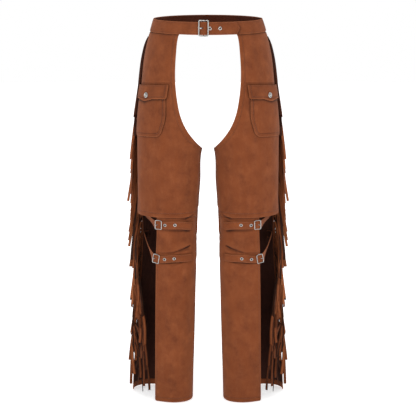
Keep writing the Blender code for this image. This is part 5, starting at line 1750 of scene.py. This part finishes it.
def make_stage():
    material, tree, shader, where = node_material("pale_floor")
    mottle = noise(tree, where, 3.0, 2.0, 0.5)
    tint = mixed(tree, spread(tree, mottle, 0.3, 0.7), (0.93, 0.93, 0.93), (0.90, 0.90, 0.90))
    tree.links.new(tint, shader.inputs["Base Color"])
    shader.inputs["Roughness"].default_value = 0.9
    shader.inputs["Specular IOR Level"].default_value = 0.1
    middle = tree.nodes.new("ShaderNodeVectorMath")
    middle.operation = "LENGTH"
    tree.links.new(where, middle.inputs[0])
    shader.inputs["Emission Color"].default_value = WHITE
    glow = spread(tree, middle.outputs["Value"], 1.2, 2.6, 0.56, 1.0)
    tree.links.new(glow, shader.inputs["Emission Strength"])
    size, floor_z = FLOOR_RADIUS, cad_low.z - 0.0015
    ring = [(size * math.cos(a), size * math.sin(a), floor_z) for a in np.linspace(0, 2 * math.pi, 65)[:-1]]
    mesh = bpy.data.meshes.new("floor")
    mesh.from_pydata(ring, [], [list(range(64))])
    new_object("floor", mesh, (material,))


def area_light(name, place, target, size, energy):
    data = bpy.data.lights.new(name, "AREA")
    data.shape = "RECTANGLE"
    data.size, data.size_y = size
    data.energy = energy
    light = linked(name, data)
    light.location = place
    aim(light, target)


def make_light():
    world = bpy.data.worlds.new("studio")
    world.use_nodes = True
    tree = world.node_tree
    split = tree.nodes.new("ShaderNodeSeparateXYZ")
    tree.links.new(tree.nodes.new("ShaderNodeTexCoord").outputs["Generated"], split.inputs["Vector"])
    sky = tree.nodes["Background"].inputs
    tree.links.new(spread(tree, split.outputs["Z"], 0.26, 0.55, 1.0, 0.30), sky["Strength"])
    sky["Color"].default_value = WHITE
    bpy.context.scene.world = world
    for light in LIGHTS:
        area_light(*light)
    bpy.context.scene.view_settings.view_transform = "Standard"


make_camera()
legs = make_leg_panels()
legs["pocket"] = make_pocket()
legs["pocket_flap"] = make_pocket_flap()
button_turn = math.radians(BUTTON_ANGLE)
button_level = (FLAP_TOP_Z - BUTTON_Z) / (FLAP_TOP_Z - FLAP_BOTTOM_Z + FLAP_POINT)
button_lift = flap_lift(0.5, button_level) + PATCH / 2 - 0.0004
legs["pocket_button"] = make_button(
    "pocket_button", BUTTON_RADIUS, BUTTON_HEIGHT, surface_frame(button_turn, BUTTON_Z, button_lift)
)
for strap_name in STRAPS:
    legs.update(make_strap(strap_name))
legs.update(make_knee_rivets())
legs["fringe"] = make_fringe()
sewing = sewing_mesh("sewing", STITCHES)
STITCHES.clear()
for leg in "rl":
    leg_sewing = sewing.copy()
    if leg == "l":
        mirror(leg_sewing)
    dress_sewing(f"sewing_{leg}", leg_sewing)
pieces = dress_legs(legs)
belt = make_waistband()
for node_name, belt_piece in belt.items():
    dress(belt_piece, node_name, "brown_suede" if node_name == "waistband" else "polished_steel", pieces)
dress_sewing("sewing_belt", sewing_mesh("sewing_belt", STITCHES))
declare_cloth(pieces)
make_stage()
make_light()
